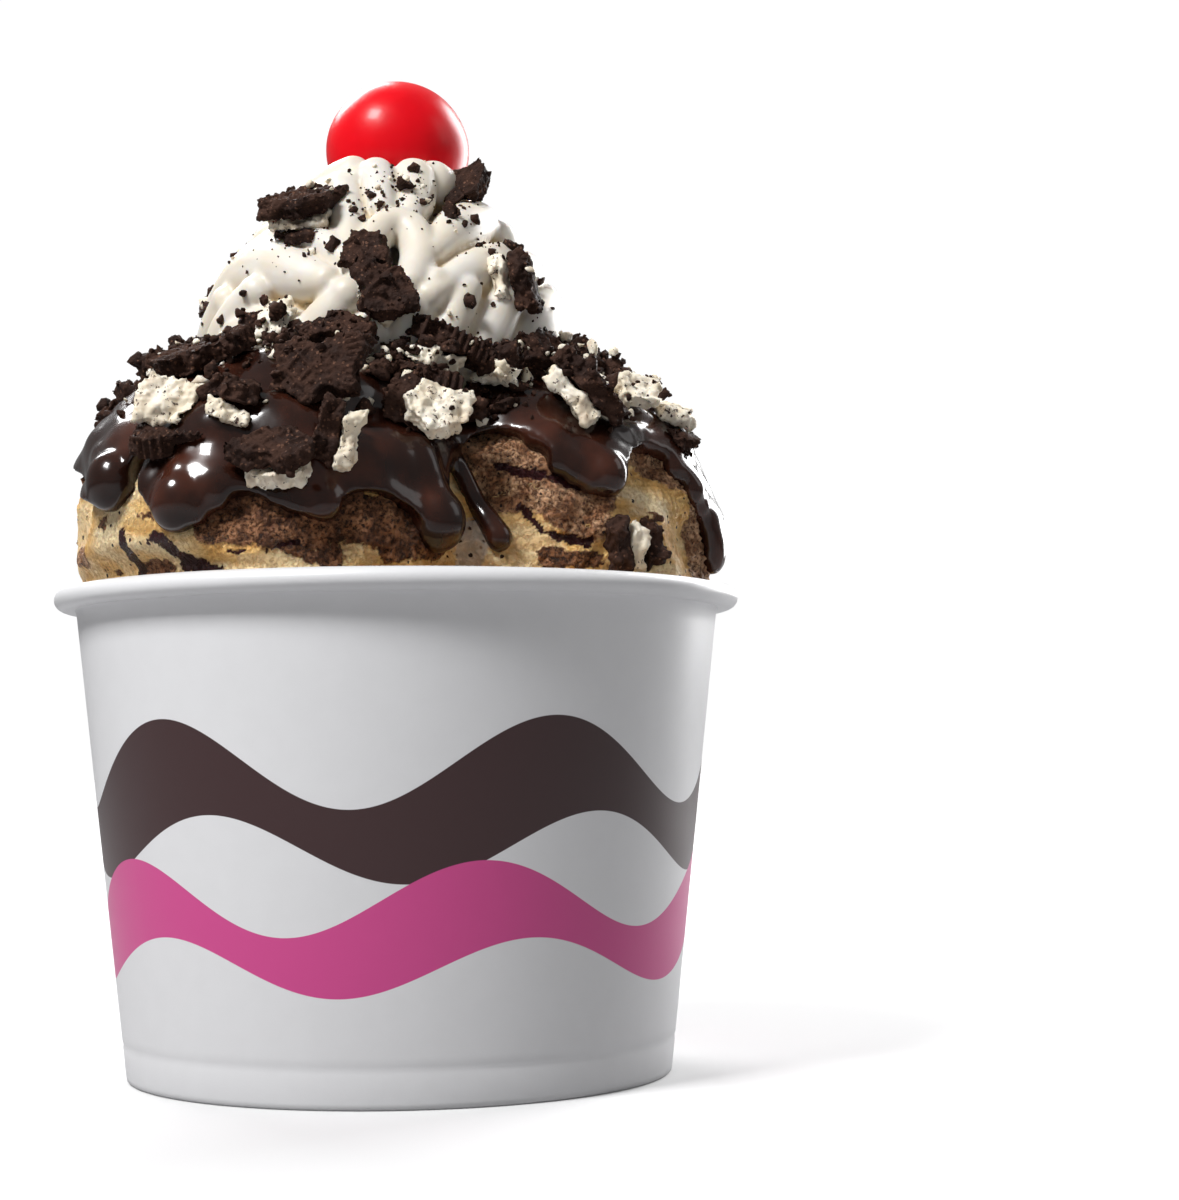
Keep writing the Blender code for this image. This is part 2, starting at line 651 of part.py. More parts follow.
def make_fudge(mass, scoops, cup, collection, cutters):
    fudge = inflated(mass, FUDGE_THICKNESS, cutters)
    fudge.name = "hot_fudge"
    crown = bmesh.new()
    rings = []
    inner = FUDGE_CROWN_INNER
    for step in range(FUDGE_EDGE_STEPS):
        degrees = -180.0 + 360.0 * step / FUDGE_EDGE_STEPS
        angle = math.radians(degrees)
        across = Vector((math.cos(angle), math.sin(angle), 0))
        edge = edge_height(degrees)
        rings.append(
            [
                crown.verts.new(across * radius + Vector((0, 0, height)))
                for radius, height in (
                    (inner, edge),
                    (TOOL_REACH, edge),
                    (TOOL_REACH, TOOL_TOP),
                    (inner, TOOL_TOP),
                )
            ]
        )
    for first, second in zip(rings, rings[1:] + rings[:1]):
        for k in range(3):
            crown.faces.new((first[k], second[k], second[k + 1], first[k + 1]))
    crown.faces.new([ring[0] for ring in reversed(rings)])
    crown.faces.new([ring[3] for ring in rings])
    bmesh.ops.triangulate(crown, faces=[f for f in crown.faces if len(f.verts) > 4])
    bmesh.ops.recalc_face_normals(crown, faces=crown.faces)
    crown = object_from_bmesh("fudge_crown", crown, cutters)
    boolean(fudge, crown, "INTERSECT")
    remove(crown)
    tree = BVHTree.FromObject(mass, bpy.context.evaluated_depsgraph_get())
    bulbs = [fudge]
    for degrees, height, size in [*rim_bulbs(), *drip_bulbs()]:
        angle = math.radians(degrees)
        across = Vector((math.cos(angle), math.sin(angle), 0))
        hit = tree.ray_cast(across * TOOL_REACH + Vector((0, 0, height)), -across)[0]
        bulb = ball("bulb", Vector(), size, cutters, subdivisions=3)
        bulb.data.transform(Matrix.Diagonal((*BULB_SHAPE, 1.0)))
        spot = Matrix.Translation(hit + across * size * BULB_STANDOUT)
        bulb.data.transform(spot @ Matrix.Rotation(angle, 4, "Z"))
        bulbs.append(bulb)
    fudge = joined("hot_fudge", bulbs, collection)
    remesh(fudge, FUDGE_VOXEL)
    smooth(fudge, FUDGE_SOFTENING)
    decimate(fudge, FUDGE_FACES)
    fit(fudge, [*scoops, cup], cutters)
    return fudge


def envelope_at(height):
    for (low, first), (high, second) in zip(CREAM_ENVELOPE, CREAM_ENVELOPE[1:]):
        if height <= high:
            break
    return first + (second - first) * max(0.0, height - low) / (high - low)


def cream_petals():
    """Each petal's points: place and radius."""
    petals = list(CREAM_PETALS)
    for first, last, step, points in CREAM_TIERS:
        for start in range(first, last, step):
            petals.append([(start + turn, height, radius) for turn, height, radius in points])
    for petal in petals:
        points = []
        for degrees, height, radius in petal:
            angle, reach = math.radians(degrees), envelope_at(height) - CREAM_INSET * radius
            place = Vector((reach * math.cos(angle), reach * math.sin(angle), height)) * MM
            points.append((CREAM_CENTRE + place, radius * MM))
        yield points


def make_cream(neighbours, cherry, rng, collection, cutters):
    curve = bpy.data.curves.new("cream_petals", "CURVE")
    curve.dimensions = "3D"
    curve.bevel_depth = 1.0
    curve.bevel_resolution = 4
    curve.resolution_u = 6
    curve.use_fill_caps = True
    parts = []
    for points in cream_petals():
        spline = curve.splines.new("NURBS")
        spline.points.add(len(points) - 1)
        spline.order_u = 3
        spline.use_endpoint_u = True
        for point, (place, radius) in zip(spline.points, points):
            point.co = (*place, 1)
            point.radius = radius
        for place, radius in (points[0], points[-1]):
            parts.append(ball("petal_end", place, radius, cutters, 2))
    ropes = bpy.data.objects.new("cream_petals", curve)
    cutters.objects.link(ropes)
    graph = bpy.context.evaluated_depsgraph_get()
    parts.append(add_object("petal_mesh", bpy.data.meshes.new_from_object(ropes.evaluated_get(graph)), cutters))
    bpy.data.objects.remove(ropes)
    core = bmesh.new()
    bmesh.ops.create_cone(
        core,
        cap_ends=True,
        segments=CREAM_CORE_SEGMENTS,
        radius1=CREAM_CORE_RADII[0],
        radius2=CREAM_CORE_RADII[1],
        depth=CREAM_CORE_DEPTH,
    )
    middle = CREAM_CENTRE + Vector((0, 0, CREAM_CORE_MIDDLE))
    bmesh.ops.translate(core, verts=core.verts, vec=middle)
    parts.append(object_from_bmesh("cream_core", core, cutters))
    crown_middle = CREAM_CENTRE + Vector((0, 0, CREAM_CROWN_HEIGHT))
    parts.append(ball("cream_crown", crown_middle, CREAM_CROWN_RADIUS, cutters))
    cream = joined("whipped_cream", parts, collection)
    remesh(cream, CREAM_VOXEL)
    smooth(cream, CREAM_SOFTENING)
    decimate(cream, CREAM_FACES)
    fuse_crumbs(cream, rng)
    fit(cream, [*neighbours, cherry], cutters)
    return cream


def make_cherry(collection):
    bm = bmesh.new()
    bmesh.ops.create_uvsphere(bm, u_segments=20, v_segments=11, radius=CHERRY_RADIUS)
    for vert in bm.verts:
        out = vert.co.normalized()
        dimple = math.exp(-((out - CHERRY_DIMPLE_AT).length / CHERRY_DIMPLE_WIDTH) ** 2)
        bulge = CHERRY_BULGE * noise.noise(vert.co / CHERRY_BULGE_GRAIN + Vector((5, 2, 1)))
        vert.co *= 1 + bulge - CHERRY_DIMPLE * dimple
        vert.co.z *= CHERRY_SQUASH
    bmesh.ops.translate(bm, verts=bm.verts, vec=CHERRY_CENTRE)
    return object_from_bmesh("cherry", bm, collection)


def chunk_frame(place, lean, rim):
    """Local z is the way the wafers face, and local x the way from break to rim."""
    towards, angle = (math.radians(value) for value in lean)
    spin = math.radians(rim) if rim is not None else towards
    turn = (
        Matrix.Rotation(towards, 4, "Z")
        @ Matrix.Rotation(angle, 4, "Y")
        @ Matrix.Rotation(spin - towards, 4, "Z")
    )
    return Matrix.Translation(Vector(place) * MM) @ turn


def rim_reach(direction, half_depth):
    """How far a wafer's rim lies from the chunk's middle, along a direction in its plane."""
    middle = Vector((half_depth - WAFER_RADIUS, 0))
    along = direction.dot(middle)
    return along + math.sqrt(along * along - middle.length_squared + WAFER_RADIUS**2)


def chunk_layer(name, halves, thickness, rim, rng, collection):
    """A piece of one wafer or of creme: a drum whose spokes end at the break or at the rim."""
    half_depth, half_width = halves
    bm = bmesh.new()
    bmesh.ops.create_cone(
        bm, cap_ends=True, segments=CHUNK_SPOKES, radius1=1, radius2=1, depth=thickness
    )
    upright = [e for e in bm.edges if abs(e.verts[0].co.z - e.verts[1].co.z) > thickness / 2]
    bmesh.ops.subdivide_edges(bm, edges=upright, cuts=1)
    caps = [face for face in bm.faces if len(face.verts) == CHUNK_SPOKES]
    bmesh.ops.poke(bm, faces=caps)
    lengths = [rng.uniform(*SPOKE_SHARE) for _ in range(CHUNK_SPOKES)]
    for vert in bm.verts:
        flat = vert.co.to_2d()
        if flat.length < 0.5:
            vert.co.z += rng.uniform(-CAP_BUMP, CAP_BUMP)
            continue
        direction = flat.normalized()
        spoke = round(math.atan2(flat.y, flat.x) / math.tau * CHUNK_SPOKES) % CHUNK_SPOKES
        corner = max(abs(direction.x) / half_depth, abs(direction.y) / half_width)
        round_off = math.hypot(direction.x / half_depth, direction.y / half_width)
        reach = lengths[spoke] * 2 / (corner + round_off)
        crumble = rng.uniform(-CRUMBLE, CRUMBLE)
        if rim and rim_reach(direction, half_depth) < reach * RIM_SNAP:
            reach = min(rim_reach(direction, half_depth), half_width / max(abs(direction.y), 0.01))
        else:
            reach += crumble
            vert.co.z += crumble * CRUMBLE_RISE
        vert.co.x, vert.co.y = direction * reach
    return object_from_bmesh(name, bm, collection)


def make_chunk(key, collection):
    place, lean, rim, halves, layers = CHUNKS[key]
    rng = random.Random(key)
    frame = chunk_frame(place, lean, rim)
    total = sum(LAYERS[layer][1] for layer in layers) + CLEARANCE * (len(layers) - 1)
    foot = -total / 2
    made = []
    for layer in layers:
        kind, thickness = LAYERS[layer]
        whole = rim is not None and kind != "creme"
        inner = kind == "creme" and len(layers) > 1
        scale = rng.uniform(*CREME_SHARE) if inner else 1.0
        inset = rng.uniform(*CREME_INSET) if inner and rim is not None else 0.0
        size = [half * MM * scale for half in halves]
        piece = chunk_layer(f"{key}_{kind}", size, thickness, whole, rng, collection)
        drift = Vector((-inset, 0, foot + thickness / 2))
        piece.data.transform(frame @ Matrix.Translation(drift))
        foot += thickness + CLEARANCE
        made.append(piece)
    return made


def settle(key, neighbours, collection, cutters):
    """Lays a chunk on its neighbours: each layer is cut where it would run into them."""
    laid = []
    for piece in make_chunk(key, collection):
        fit(piece, [*neighbours, *laid], cutters)
        thin_out(piece, CHUNK_FACES)
        fit(piece, [*neighbours, *laid], cutters, THINNED_CLEARANCE)
        laid.append(piece)
    return laid


def fuse_crumbs(base, rng):
    """Joins crumbs to what they lie on, spread round it by the golden angle."""
    count, (lowest, highest), (smallest, largest) = CRUMBS[base.name]
    tree = BVHTree.FromObject(base, bpy.context.evaluated_depsgraph_get())
    crumbs = make_collection("crumbs")
    for k in range(count):
        angle = k * GOLDEN_ANGLE
        across = Vector((math.cos(angle), math.sin(angle), 0))
        height = Vector((0, 0, rng.uniform(lowest, highest)))
        size = rng.uniform(smallest, largest)
        hit, normal, _, _ = tree.ray_cast(across * TOOL_REACH + height, -across)
        bm = bmesh.new()
        bmesh.ops.create_icosphere(bm, subdivisions=1, radius=size)
        for vert in bm.verts:
            vert.co *= rng.uniform(*CRUMB_UNEVENNESS)
        bmesh.ops.translate(bm, verts=bm.verts, vec=hit + normal * size * CRUMB_STANDOUT)
        object_from_bmesh("crumb", bm, crumbs)
    modifier = base.modifiers.new("Fuse", "BOOLEAN")
    modifier.operation = "UNION"
    modifier.solver = "MANIFOLD"
    modifier.operand_type = "COLLECTION"
    modifier.collection = crumbs
    apply_modifiers(base)
    for crumb in list(crumbs.objects):
        remove(crumb)
    bpy.data.collections.remove(crumbs)
    keep_largest(base)


def finish(obj, finish_material):
    obj.data.materials.clear()
    obj.data.materials.append(finish_material)
    obj.data.shade_smooth()
    obj.data.set_sharp_from_angle(angle=math.radians(SHARP_DEGREES))


def main():
    clear_scene()
    parts = make_collection("hot_fudge_sundae")
    cutters = make_collection("cutters")
    paper = material("paper", (0.80, 0.80, 0.80), 0.45)
    ice_cream = material("ice_cream", (0.42, 0.22, 0.10), 0.6)
    sauce = material("hot_fudge", (0.030, 0.012, 0.008), 0.12)
    cream_white = material("whipped_cream", (0.90, 0.87, 0.80), 0.4)
    cherry_red = material("cherry", (0.62, 0.004, 0.012), 0.15)
    wafer_brown = material("wafer", (0.030, 0.016, 0.011), 0.8)
    creme_white = material("creme", (0.85, 0.78, 0.66), 0.6)

    cup = make_cup(parts)
    mass = make_ice_cream(cutters)
    scoops = make_scoops(mass, parts, cutters)
    sunk = settle("sunk_right", [], parts, cutters)
    for piece in sunk:
        for scoop in scoops:
            fit(scoop, [piece], cutters, SUNK_CLEARANCE)
    rng = random.Random(CRUMB_SEED)
    fudge = make_fudge(mass, [*scoops, *sunk], cup, parts, cutters)
    fuse_crumbs(fudge, rng)
    thin_out(fudge, FUDGE_FINAL_FACES)
    cherry = make_cherry(parts)
    cream = make_cream([*scoops, fudge], cherry, rng, parts, cutters)
    remove(mass)

    settled = [*scoops, *sunk, cup, fudge, cream, cherry]
    for key in CHUNKS:
        if key != "sunk_right":
            settled += settle(key, settled, parts, cutters)

    coats = {
        "cup": paper,
        "scoop": ice_cream,
        "hot_fudge": sauce,
        "whipped_cream": cream_white,
        "cherry": cherry_red,
    }
    for obj in parts.objects:
        if obj.name.endswith("_creme"):
            finish(obj, creme_white)
        elif "_wafer" in obj.name:
            finish(obj, wafer_brown)
        else:
            finish(obj, next(coat for name, coat in coats.items() if obj.name.startswith(name)))


main()
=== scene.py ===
import math
import random

import bpy
import numpy as np
from mathutils import Matrix, Vector, noise
from mathutils.bvhtree import BVHTree


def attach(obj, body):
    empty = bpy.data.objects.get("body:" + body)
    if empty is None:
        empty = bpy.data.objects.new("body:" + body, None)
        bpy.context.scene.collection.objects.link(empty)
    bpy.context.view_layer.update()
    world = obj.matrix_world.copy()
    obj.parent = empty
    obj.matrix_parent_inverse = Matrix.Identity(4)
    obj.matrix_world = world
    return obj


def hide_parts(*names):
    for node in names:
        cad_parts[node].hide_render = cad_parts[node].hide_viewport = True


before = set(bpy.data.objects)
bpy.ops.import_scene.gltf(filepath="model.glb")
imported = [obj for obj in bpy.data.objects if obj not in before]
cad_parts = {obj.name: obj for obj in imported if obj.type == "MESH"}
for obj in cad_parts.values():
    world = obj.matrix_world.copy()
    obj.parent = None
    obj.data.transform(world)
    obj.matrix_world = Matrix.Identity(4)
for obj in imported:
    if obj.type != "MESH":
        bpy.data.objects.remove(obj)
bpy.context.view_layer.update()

mm = 0.001
noise.seed_set(17)        # without a seed, noise vectors start from the clock
bpy.ops.object.select_all(action="DESELECT")


# Helpers for working on one object at a time

def makeActive(obj, others=()):
    bpy.ops.object.select_all(action="DESELECT")
    for other in others:
        other.select_set(True)
    obj.select_set(True)
    bpy.context.view_layer.objects.active = obj


def applyModifier(obj, kind, **settings):
    makeActive(obj)
    modifier = obj.modifiers.new(kind.title(), kind)
    for name, value in settings.items():
        setattr(modifier, name, value)
    bpy.ops.object.modifier_apply(modifier=modifier.name)


def joinPieces(pieces, name):
    makeActive(pieces[0], pieces[1:])
    bpy.ops.object.join()
    joined = bpy.context.object
    joined.name = joined.data.name = name
    return joined


def settle(obj):
    # the piece's place goes into its mesh, and its object to the origin
    makeActive(obj)
    bpy.ops.object.transform_apply(location=True, rotation=True, scale=True)


def remeshed(obj, voxel, rounds):
    applyModifier(obj, "REMESH", mode="VOXEL", voxel_size=voxel)
    applyModifier(obj, "SMOOTH", iterations=rounds, factor=0.5)


def readVerts(obj):
    count = len(obj.data.vertices)
    places, normals = np.empty(count * 3), np.empty(count * 3)
    obj.data.vertices.foreach_get("co", places)
    obj.data.vertex_normals.foreach_get("vector", normals)
    return places.reshape(-1, 3), normals.reshape(-1, 3)


def writeVerts(obj, places):
    obj.data.vertices.foreach_set("co", places.ravel())
    obj.data.update()


def pushOut(obj, rule):
    # moves each point along its normal by rule(point, normal)
    places, normals = readVerts(obj)
    moves = [rule(Vector(place), Vector(normal)) for place, normal in zip(places, normals)]
    writeVerts(obj, places + normals * np.array(moves)[:, None])


def eased(value, low, high):
    share = min(1.0, max(0.0, (value - low) / (high - low)))
    return share * share * (3 - 2 * share)


def pebbles(p, size):
    # rounded grains of about this size, with creases between them
    distances, _ = noise.voronoi(p / size)
    return 0.42 - distances[0]


def removePiece(obj):
    mesh = obj.data
    bpy.data.objects.remove(obj)
    bpy.data.meshes.remove(mesh)


def nodeCopy(node, name):
    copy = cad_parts[node].copy()
    copy.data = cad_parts[node].data.copy()
    copy.name = copy.data.name = name
    copy.parent = None
    copy.matrix_world = Matrix.Identity(4)
    for key in list(copy.keys()):
        del copy[key]
    bpy.context.scene.collection.objects.link(copy)
    makeActive(copy)
    bpy.ops.object.mode_set(mode="EDIT")
    bpy.ops.mesh.select_all(action="SELECT")
    bpy.ops.mesh.remove_doubles(threshold=0.00001)
    bpy.ops.object.mode_set(mode="OBJECT")
    return copy


def treeOf(obj):
    return BVHTree.FromObject(obj, bpy.context.evaluated_depsgraph_get())


def dress(obj, material, nodes, angle=40):
    # the piece's last step: finish, smooth shading, and what it stands for
    obj.data.materials.clear()
    obj.data.materials.append(material)
    for face in obj.data.polygons:
        face.material_index = 0
    makeActive(obj)
    bpy.ops.object.shade_smooth_by_angle(angle=math.radians(angle))
    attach(obj, "root")
    if nodes:
        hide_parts(*nodes)
    print(f"  {obj.name}: {len(obj.data.polygons)} faces")


# Shader helpers

def newMaterial(name):
    material = bpy.data.materials.new(name)
    material.use_nodes = True
    tree = material.node_tree
    return material, tree, tree.nodes["Principled BSDF"]


def addNode(tree, kind, inputs=None, **settings):
    node = tree.nodes.new(kind)
    for name, value in settings.items():
        setattr(node, name, value)
    for name, value in (inputs or {}).items():
        if isinstance(value, bpy.types.NodeSocket):
            tree.links.new(value, node.inputs[name])
        else:
            node.inputs[name].default_value = value
    return node


def objectCoords(tree):
    return addNode(tree, "ShaderNodeTexCoord").outputs["Object"]


def noiseAt(tree, coords, scale, detail=3.0, roughness=0.5, distortion=0.0):
    return addNode(
        tree,
        "ShaderNodeTexNoise",
        {"Vector": coords, "Scale": scale, "Detail": detail, "Roughness": roughness, "Distortion": distortion},
    ).outputs["Fac"]


def ramped(tree, value, low, high, toLow=0.0, toHigh=1.0):
    return addNode(
        tree,
        "ShaderNodeMapRange",
        {"Value": value, "From Min": low, "From Max": high, "To Min": toLow, "To Max": toHigh},
        interpolation_type="SMOOTHSTEP",
    ).outputs["Result"]


def mixColour(tree, factor, first, second):
    node = tree.nodes.new("ShaderNodeMix")
    node.data_type = "RGBA"
    for socket, value in zip((node.inputs[0], node.inputs[6], node.inputs[7]), (factor, first, second)):
        if isinstance(value, bpy.types.NodeSocket):
            tree.links.new(value, socket)
        elif isinstance(value, tuple):
            socket.default_value = (*value, 1.0)
        else:
            socket.default_value = value
    return node.outputs[2]


def maths(tree, operation, first, second=0.5, clamp=False):
    node = tree.nodes.new("ShaderNodeMath")
    node.operation = operation
    node.use_clamp = clamp
    for socket, value in zip(node.inputs, (first, second)):
        if isinstance(value, bpy.types.NodeSocket):
            tree.links.new(value, socket)
        else:
            socket.default_value = value
    return node.outputs[0]


def bumped(tree, shader, height, strength, distance):
    bump = addNode(tree, "ShaderNodeBump", {"Height": height, "Strength": strength, "Distance": distance})
    tree.links.new(bump.outputs["Normal"], shader.inputs["Normal"])


def newGroup(name, inputs, outputs):
    group = bpy.data.node_groups.new(name, "ShaderNodeTree")
    for socketName, kind, value in inputs:
        socket = group.interface.new_socket(socketName, in_out="INPUT", socket_type=kind)
        if value is not None:
            socket.default_value = value
    for socketName, kind in outputs:
        group.interface.new_socket(socketName, in_out="OUTPUT", socket_type=kind)
    return group, group.nodes.new("NodeGroupInput"), group.nodes.new("NodeGroupOutput")


def useGroup(tree, group, inputs):
    node = tree.nodes.new("ShaderNodeGroup")
    node.node_tree = group
    for name, value in inputs.items():
        if isinstance(value, bpy.types.NodeSocket):
            tree.links.new(value, node.inputs[name])
        else:
            node.inputs[name].default_value = value
    return node


# Effects that more than one finish uses

def makeCrumblyGroup():
    # a grainy height and a mask of pits, for baked and frozen surfaces
    group, start, end = newGroup(
        "crumbly",
        [("Vector", "NodeSocketVector", None), ("Grain", "NodeSocketFloat", 1400.0)],
        [("Height", "NodeSocketFloat"), ("Pits", "NodeSocketFloat"), ("Mottle", "NodeSocketFloat")],
    )
    fine = group.nodes.new("ShaderNodeTexNoise")
    fine.inputs["Detail"].default_value = 4.0
    fine.inputs["Roughness"].default_value = 0.65
    group.links.new(start.outputs["Vector"], fine.inputs["Vector"])
    group.links.new(start.outputs["Grain"], fine.inputs["Scale"])
    cells = group.nodes.new("ShaderNodeTexVoronoi")
    group.links.new(start.outputs["Vector"], cells.inputs["Vector"])
    group.links.new(maths(group, "MULTIPLY", start.outputs["Grain"], 0.55), cells.inputs["Scale"])
    broad = group.nodes.new("ShaderNodeTexNoise")
    broad.inputs["Detail"].default_value = 2.0
    group.links.new(start.outputs["Vector"], broad.inputs["Vector"])
    group.links.new(maths(group, "MULTIPLY", start.outputs["Grain"], 0.18), broad.inputs["Scale"])
    height = maths(group, "ADD", fine.outputs["Fac"], maths(group, "MULTIPLY", cells.outputs["Distance"], 0.6))
    group.links.new(height, end.inputs["Height"])
    group.links.new(ramped(group, cells.outputs["Distance"], 0.05, 0.35, 1.0, 0.0), end.inputs["Pits"])
    group.links.new(ramped(group, broad.outputs["Fac"], 0.35, 0.65), end.inputs["Mottle"])
    return group


def makeSpeckleGroup():
    # specks scattered over a surface: a mask that is 1 on each speck
    group, start, end = newGroup(
        "speckles",
        [
            ("Vector", "NodeSocketVector", None),
            ("Spread", "NodeSocketFloat", 700.0),
            ("Size", "NodeSocketFloat", 0.2),
        ],
        [("Mask", "NodeSocketFloat")],
    )
    warp = group.nodes.new("ShaderNodeTexNoise")
    warp.inputs["Scale"].default_value = 1800.0
    group.links.new(start.outputs["Vector"], warp.inputs["Vector"])
    shifted = group.nodes.new("ShaderNodeVectorMath")
    shifted.operation = "MULTIPLY_ADD"
    group.links.new(warp.outputs["Color"], shifted.inputs[0])
    shifted.inputs[1].default_value = (0.0005, 0.0005, 0.0005)
    group.links.new(start.outputs["Vector"], shifted.inputs[2])
    cells = group.nodes.new("ShaderNodeTexVoronoi")
    group.links.new(shifted.outputs[0], cells.inputs["Vector"])
    group.links.new(start.outputs["Spread"], cells.inputs["Scale"])
    chosen = group.nodes.new("ShaderNodeSeparateColor")
    group.links.new(cells.outputs["Color"], chosen.inputs["Color"])
    size = maths(group, "MULTIPLY", start.outputs["Size"], maths(group, "POWER", chosen.outputs["Red"], 2.0))
    gap = maths(group, "SUBTRACT", size, cells.outputs["Distance"])
    group.links.new(ramped(group, gap, -0.02, 0.02), end.inputs["Mask"])
    return group


crumbly = makeCrumblyGroup()
speckles = makeSpeckleGroup()

# Paper cup

cup = {
    "height": 80.0 * mm,
    "rimRadius": 57.0 * mm,
    "wallTopRadius": 53.6 * mm,
    "footRadius": 45.0 * mm,
    "paper": 0.6 * mm,
    "footPly": 1.5 * mm,
    "baseRecess": 3.6 * mm,
    "beadHalfWidth": 1.9 * mm,
    "beadHalfHeight": 1.75 * mm,
    "segments": 256,
    "beadPoints": 22,
    "seamDegrees": 118.0,
    "seamStep": 0.22 * mm,
    "seamFade": 9.0,
    "crimpHeight": 6.0 * mm,
    "white": (0.755, 0.755, 0.768),
    "ribbons": (
        {
            "colour": (0.040, 0.013, 0.014), "middle": 45 * mm, "swing": 5.5 * mm, "waves": 5.0, "phase": 0.4,
            "halfWidth": 6.4 * mm, "swell": 2.6 * mm, "swellPhase": 1.2, "edge": 0.06 * mm,
        },
        {
            "colour": (0.62, 0.060, 0.26), "middle": 26 * mm, "swing": 4.5 * mm, "waves": 5.0, "phase": 1.5,
            "halfWidth": 5.2 * mm, "swell": 2.1 * mm, "swellPhase": 1.2, "edge": 0.06 * mm,
        },
    ),
}


def wallRadius(height):
    share = height / (cup["height"] - cup["beadHalfHeight"])
    return cup["footRadius"] + (cup["wallTopRadius"] - cup["footRadius"]) * share


def cupProfile():
    # from the middle of the base disc, up the inside, round the bead and down the outside
    paper, ply, recess = cup["paper"], cup["footPly"], cup["baseRecess"]
    beadRadius = cup["rimRadius"] - cup["beadHalfWidth"]
    beadHeight = cup["height"] - cup["beadHalfHeight"]
    underBead = beadHeight - cup["beadHalfHeight"]
    profile = [(0.5 * mm, recess + paper), (wallRadius(recess) - paper - 1.2 * mm, recess + paper)]
    profile.append((wallRadius(recess + 2 * paper) - paper, recess + 2 * paper))
    profile += [(wallRadius(z) - paper, z) for z in np.linspace(12 * mm, underBead, 6)]
    for step in range(cup["beadPoints"] + 1):
        angle = math.radians(200.0 - 290.0 * step / cup["beadPoints"])
        profile.append(
            (
                beadRadius + cup["beadHalfWidth"] * math.cos(angle),
                beadHeight + cup["beadHalfHeight"] * math.sin(angle),
            )
        )
    profile.append((wallRadius(underBead) + 0.25 * mm, underBead + 0.05 * mm))
    profile.append((wallRadius(underBead - 0.5 * mm), underBead - 0.5 * mm))
    profile += [(wallRadius(z), z) for z in np.linspace(underBead - 3 * mm, cup["crimpHeight"] + 2 * mm, 22)]
    crimp = cup["crimpHeight"]
    profile += [(wallRadius(crimp + 0.6 * mm), crimp + 0.6 * mm), (wallRadius(crimp) - 0.12 * mm, crimp)]
    profile += [(wallRadius(crimp - 0.6 * mm), crimp - 0.6 * mm), (wallRadius(1.0 * mm), 1.0 * mm)]
    profile += [(wallRadius(0.3 * mm) - 0.05 * mm, 0.3 * mm), (cup["footRadius"] - 0.35 * mm, 0.0)]
    profile += [(cup["footRadius"] - ply + 0.35 * mm, 0.0), (cup["footRadius"] - ply, 0.35 * mm)]
    profile += [(cup["footRadius"] - ply, recess - 0.3 * mm), (cup["footRadius"] - ply - 0.3 * mm, recess)]
    profile.append((0.5 * mm, recess))
    return profile


def makeCup():
    profile = cupProfile()
    radius, height = profile[0]
    bpy.ops.mesh.primitive_circle_add(
        vertices=cup["segments"], radius=radius, location=(0, 0, height), fill_type="NGON"
    )
    piece = bpy.context.object
    piece.name = piece.data.name = "paperCup"
    settle(piece)
    bpy.ops.object.mode_set(mode="EDIT")
    bpy.ops.mesh.select_all(action="SELECT")
    bpy.ops.mesh.delete(type="ONLY_FACE")
    bpy.ops.mesh.select_all(action="SELECT")
    for (oldRadius, oldHeight), (newRadius, newHeight) in zip(profile, profile[1:]):
        bpy.ops.mesh.extrude_edges_move()
        scale = newRadius / oldRadius
        bpy.ops.transform.resize(value=(scale, scale, 1), center_override=(0, 0, oldHeight))
        bpy.ops.transform.translate(value=(0, 0, newHeight - oldHeight))
    bpy.ops.mesh.select_all(action="DESELECT")
    bpy.ops.mesh.select_non_manifold(extend=False, use_wire=False, use_boundary=True)
    bpy.ops.mesh.fill_holes(sides=0)
    bpy.ops.mesh.select_all(action="SELECT")
    bpy.ops.mesh.normals_make_consistent(inside=False)
    bpy.ops.object.mode_set(mode="OBJECT")

    # the wrapped board overlaps itself along a seam at the back
    places, _ = readVerts(piece)
    for place in places:
        reach = math.hypot(place[0], place[1])
        past = math.degrees(math.atan2(place[1], place[0])) - cup["seamDegrees"]
        inWall = reach > wallRadius(min(place[2], cup["height"] - 3.4 * mm)) - 0.2 * mm
        if inWall and 0 <= past < cup["seamFade"]:
            lift = 1 + cup["seamStep"] * (1 - past / cup["seamFade"]) / reach
            place[0] *= lift
            place[1] *= lift
    writeVerts(piece, places)
    return piece


def ribbonMask(tree, angle, height, ribbon):
    # 1 inside a band that waves round the wall and swells and thins as it goes
    turned = maths(tree, "MULTIPLY", angle, ribbon["waves"])
    wave = maths(tree, "SINE", maths(tree, "ADD", turned, ribbon["phase"]), 0.0)
    swell = maths(tree, "SINE", maths(tree, "ADD", turned, ribbon["phase"] + ribbon["swellPhase"]), 0.0)
    centre = maths(tree, "ADD", maths(tree, "MULTIPLY", wave, ribbon["swing"]), ribbon["middle"])
    halfWidth = maths(tree, "ADD", maths(tree, "MULTIPLY", swell, ribbon["swell"]), ribbon["halfWidth"])
    off = maths(tree, "ABSOLUTE", maths(tree, "SUBTRACT", height, centre), 0.0)
    return ramped(tree, maths(tree, "SUBTRACT", halfWidth, off), -ribbon["edge"], ribbon["edge"])


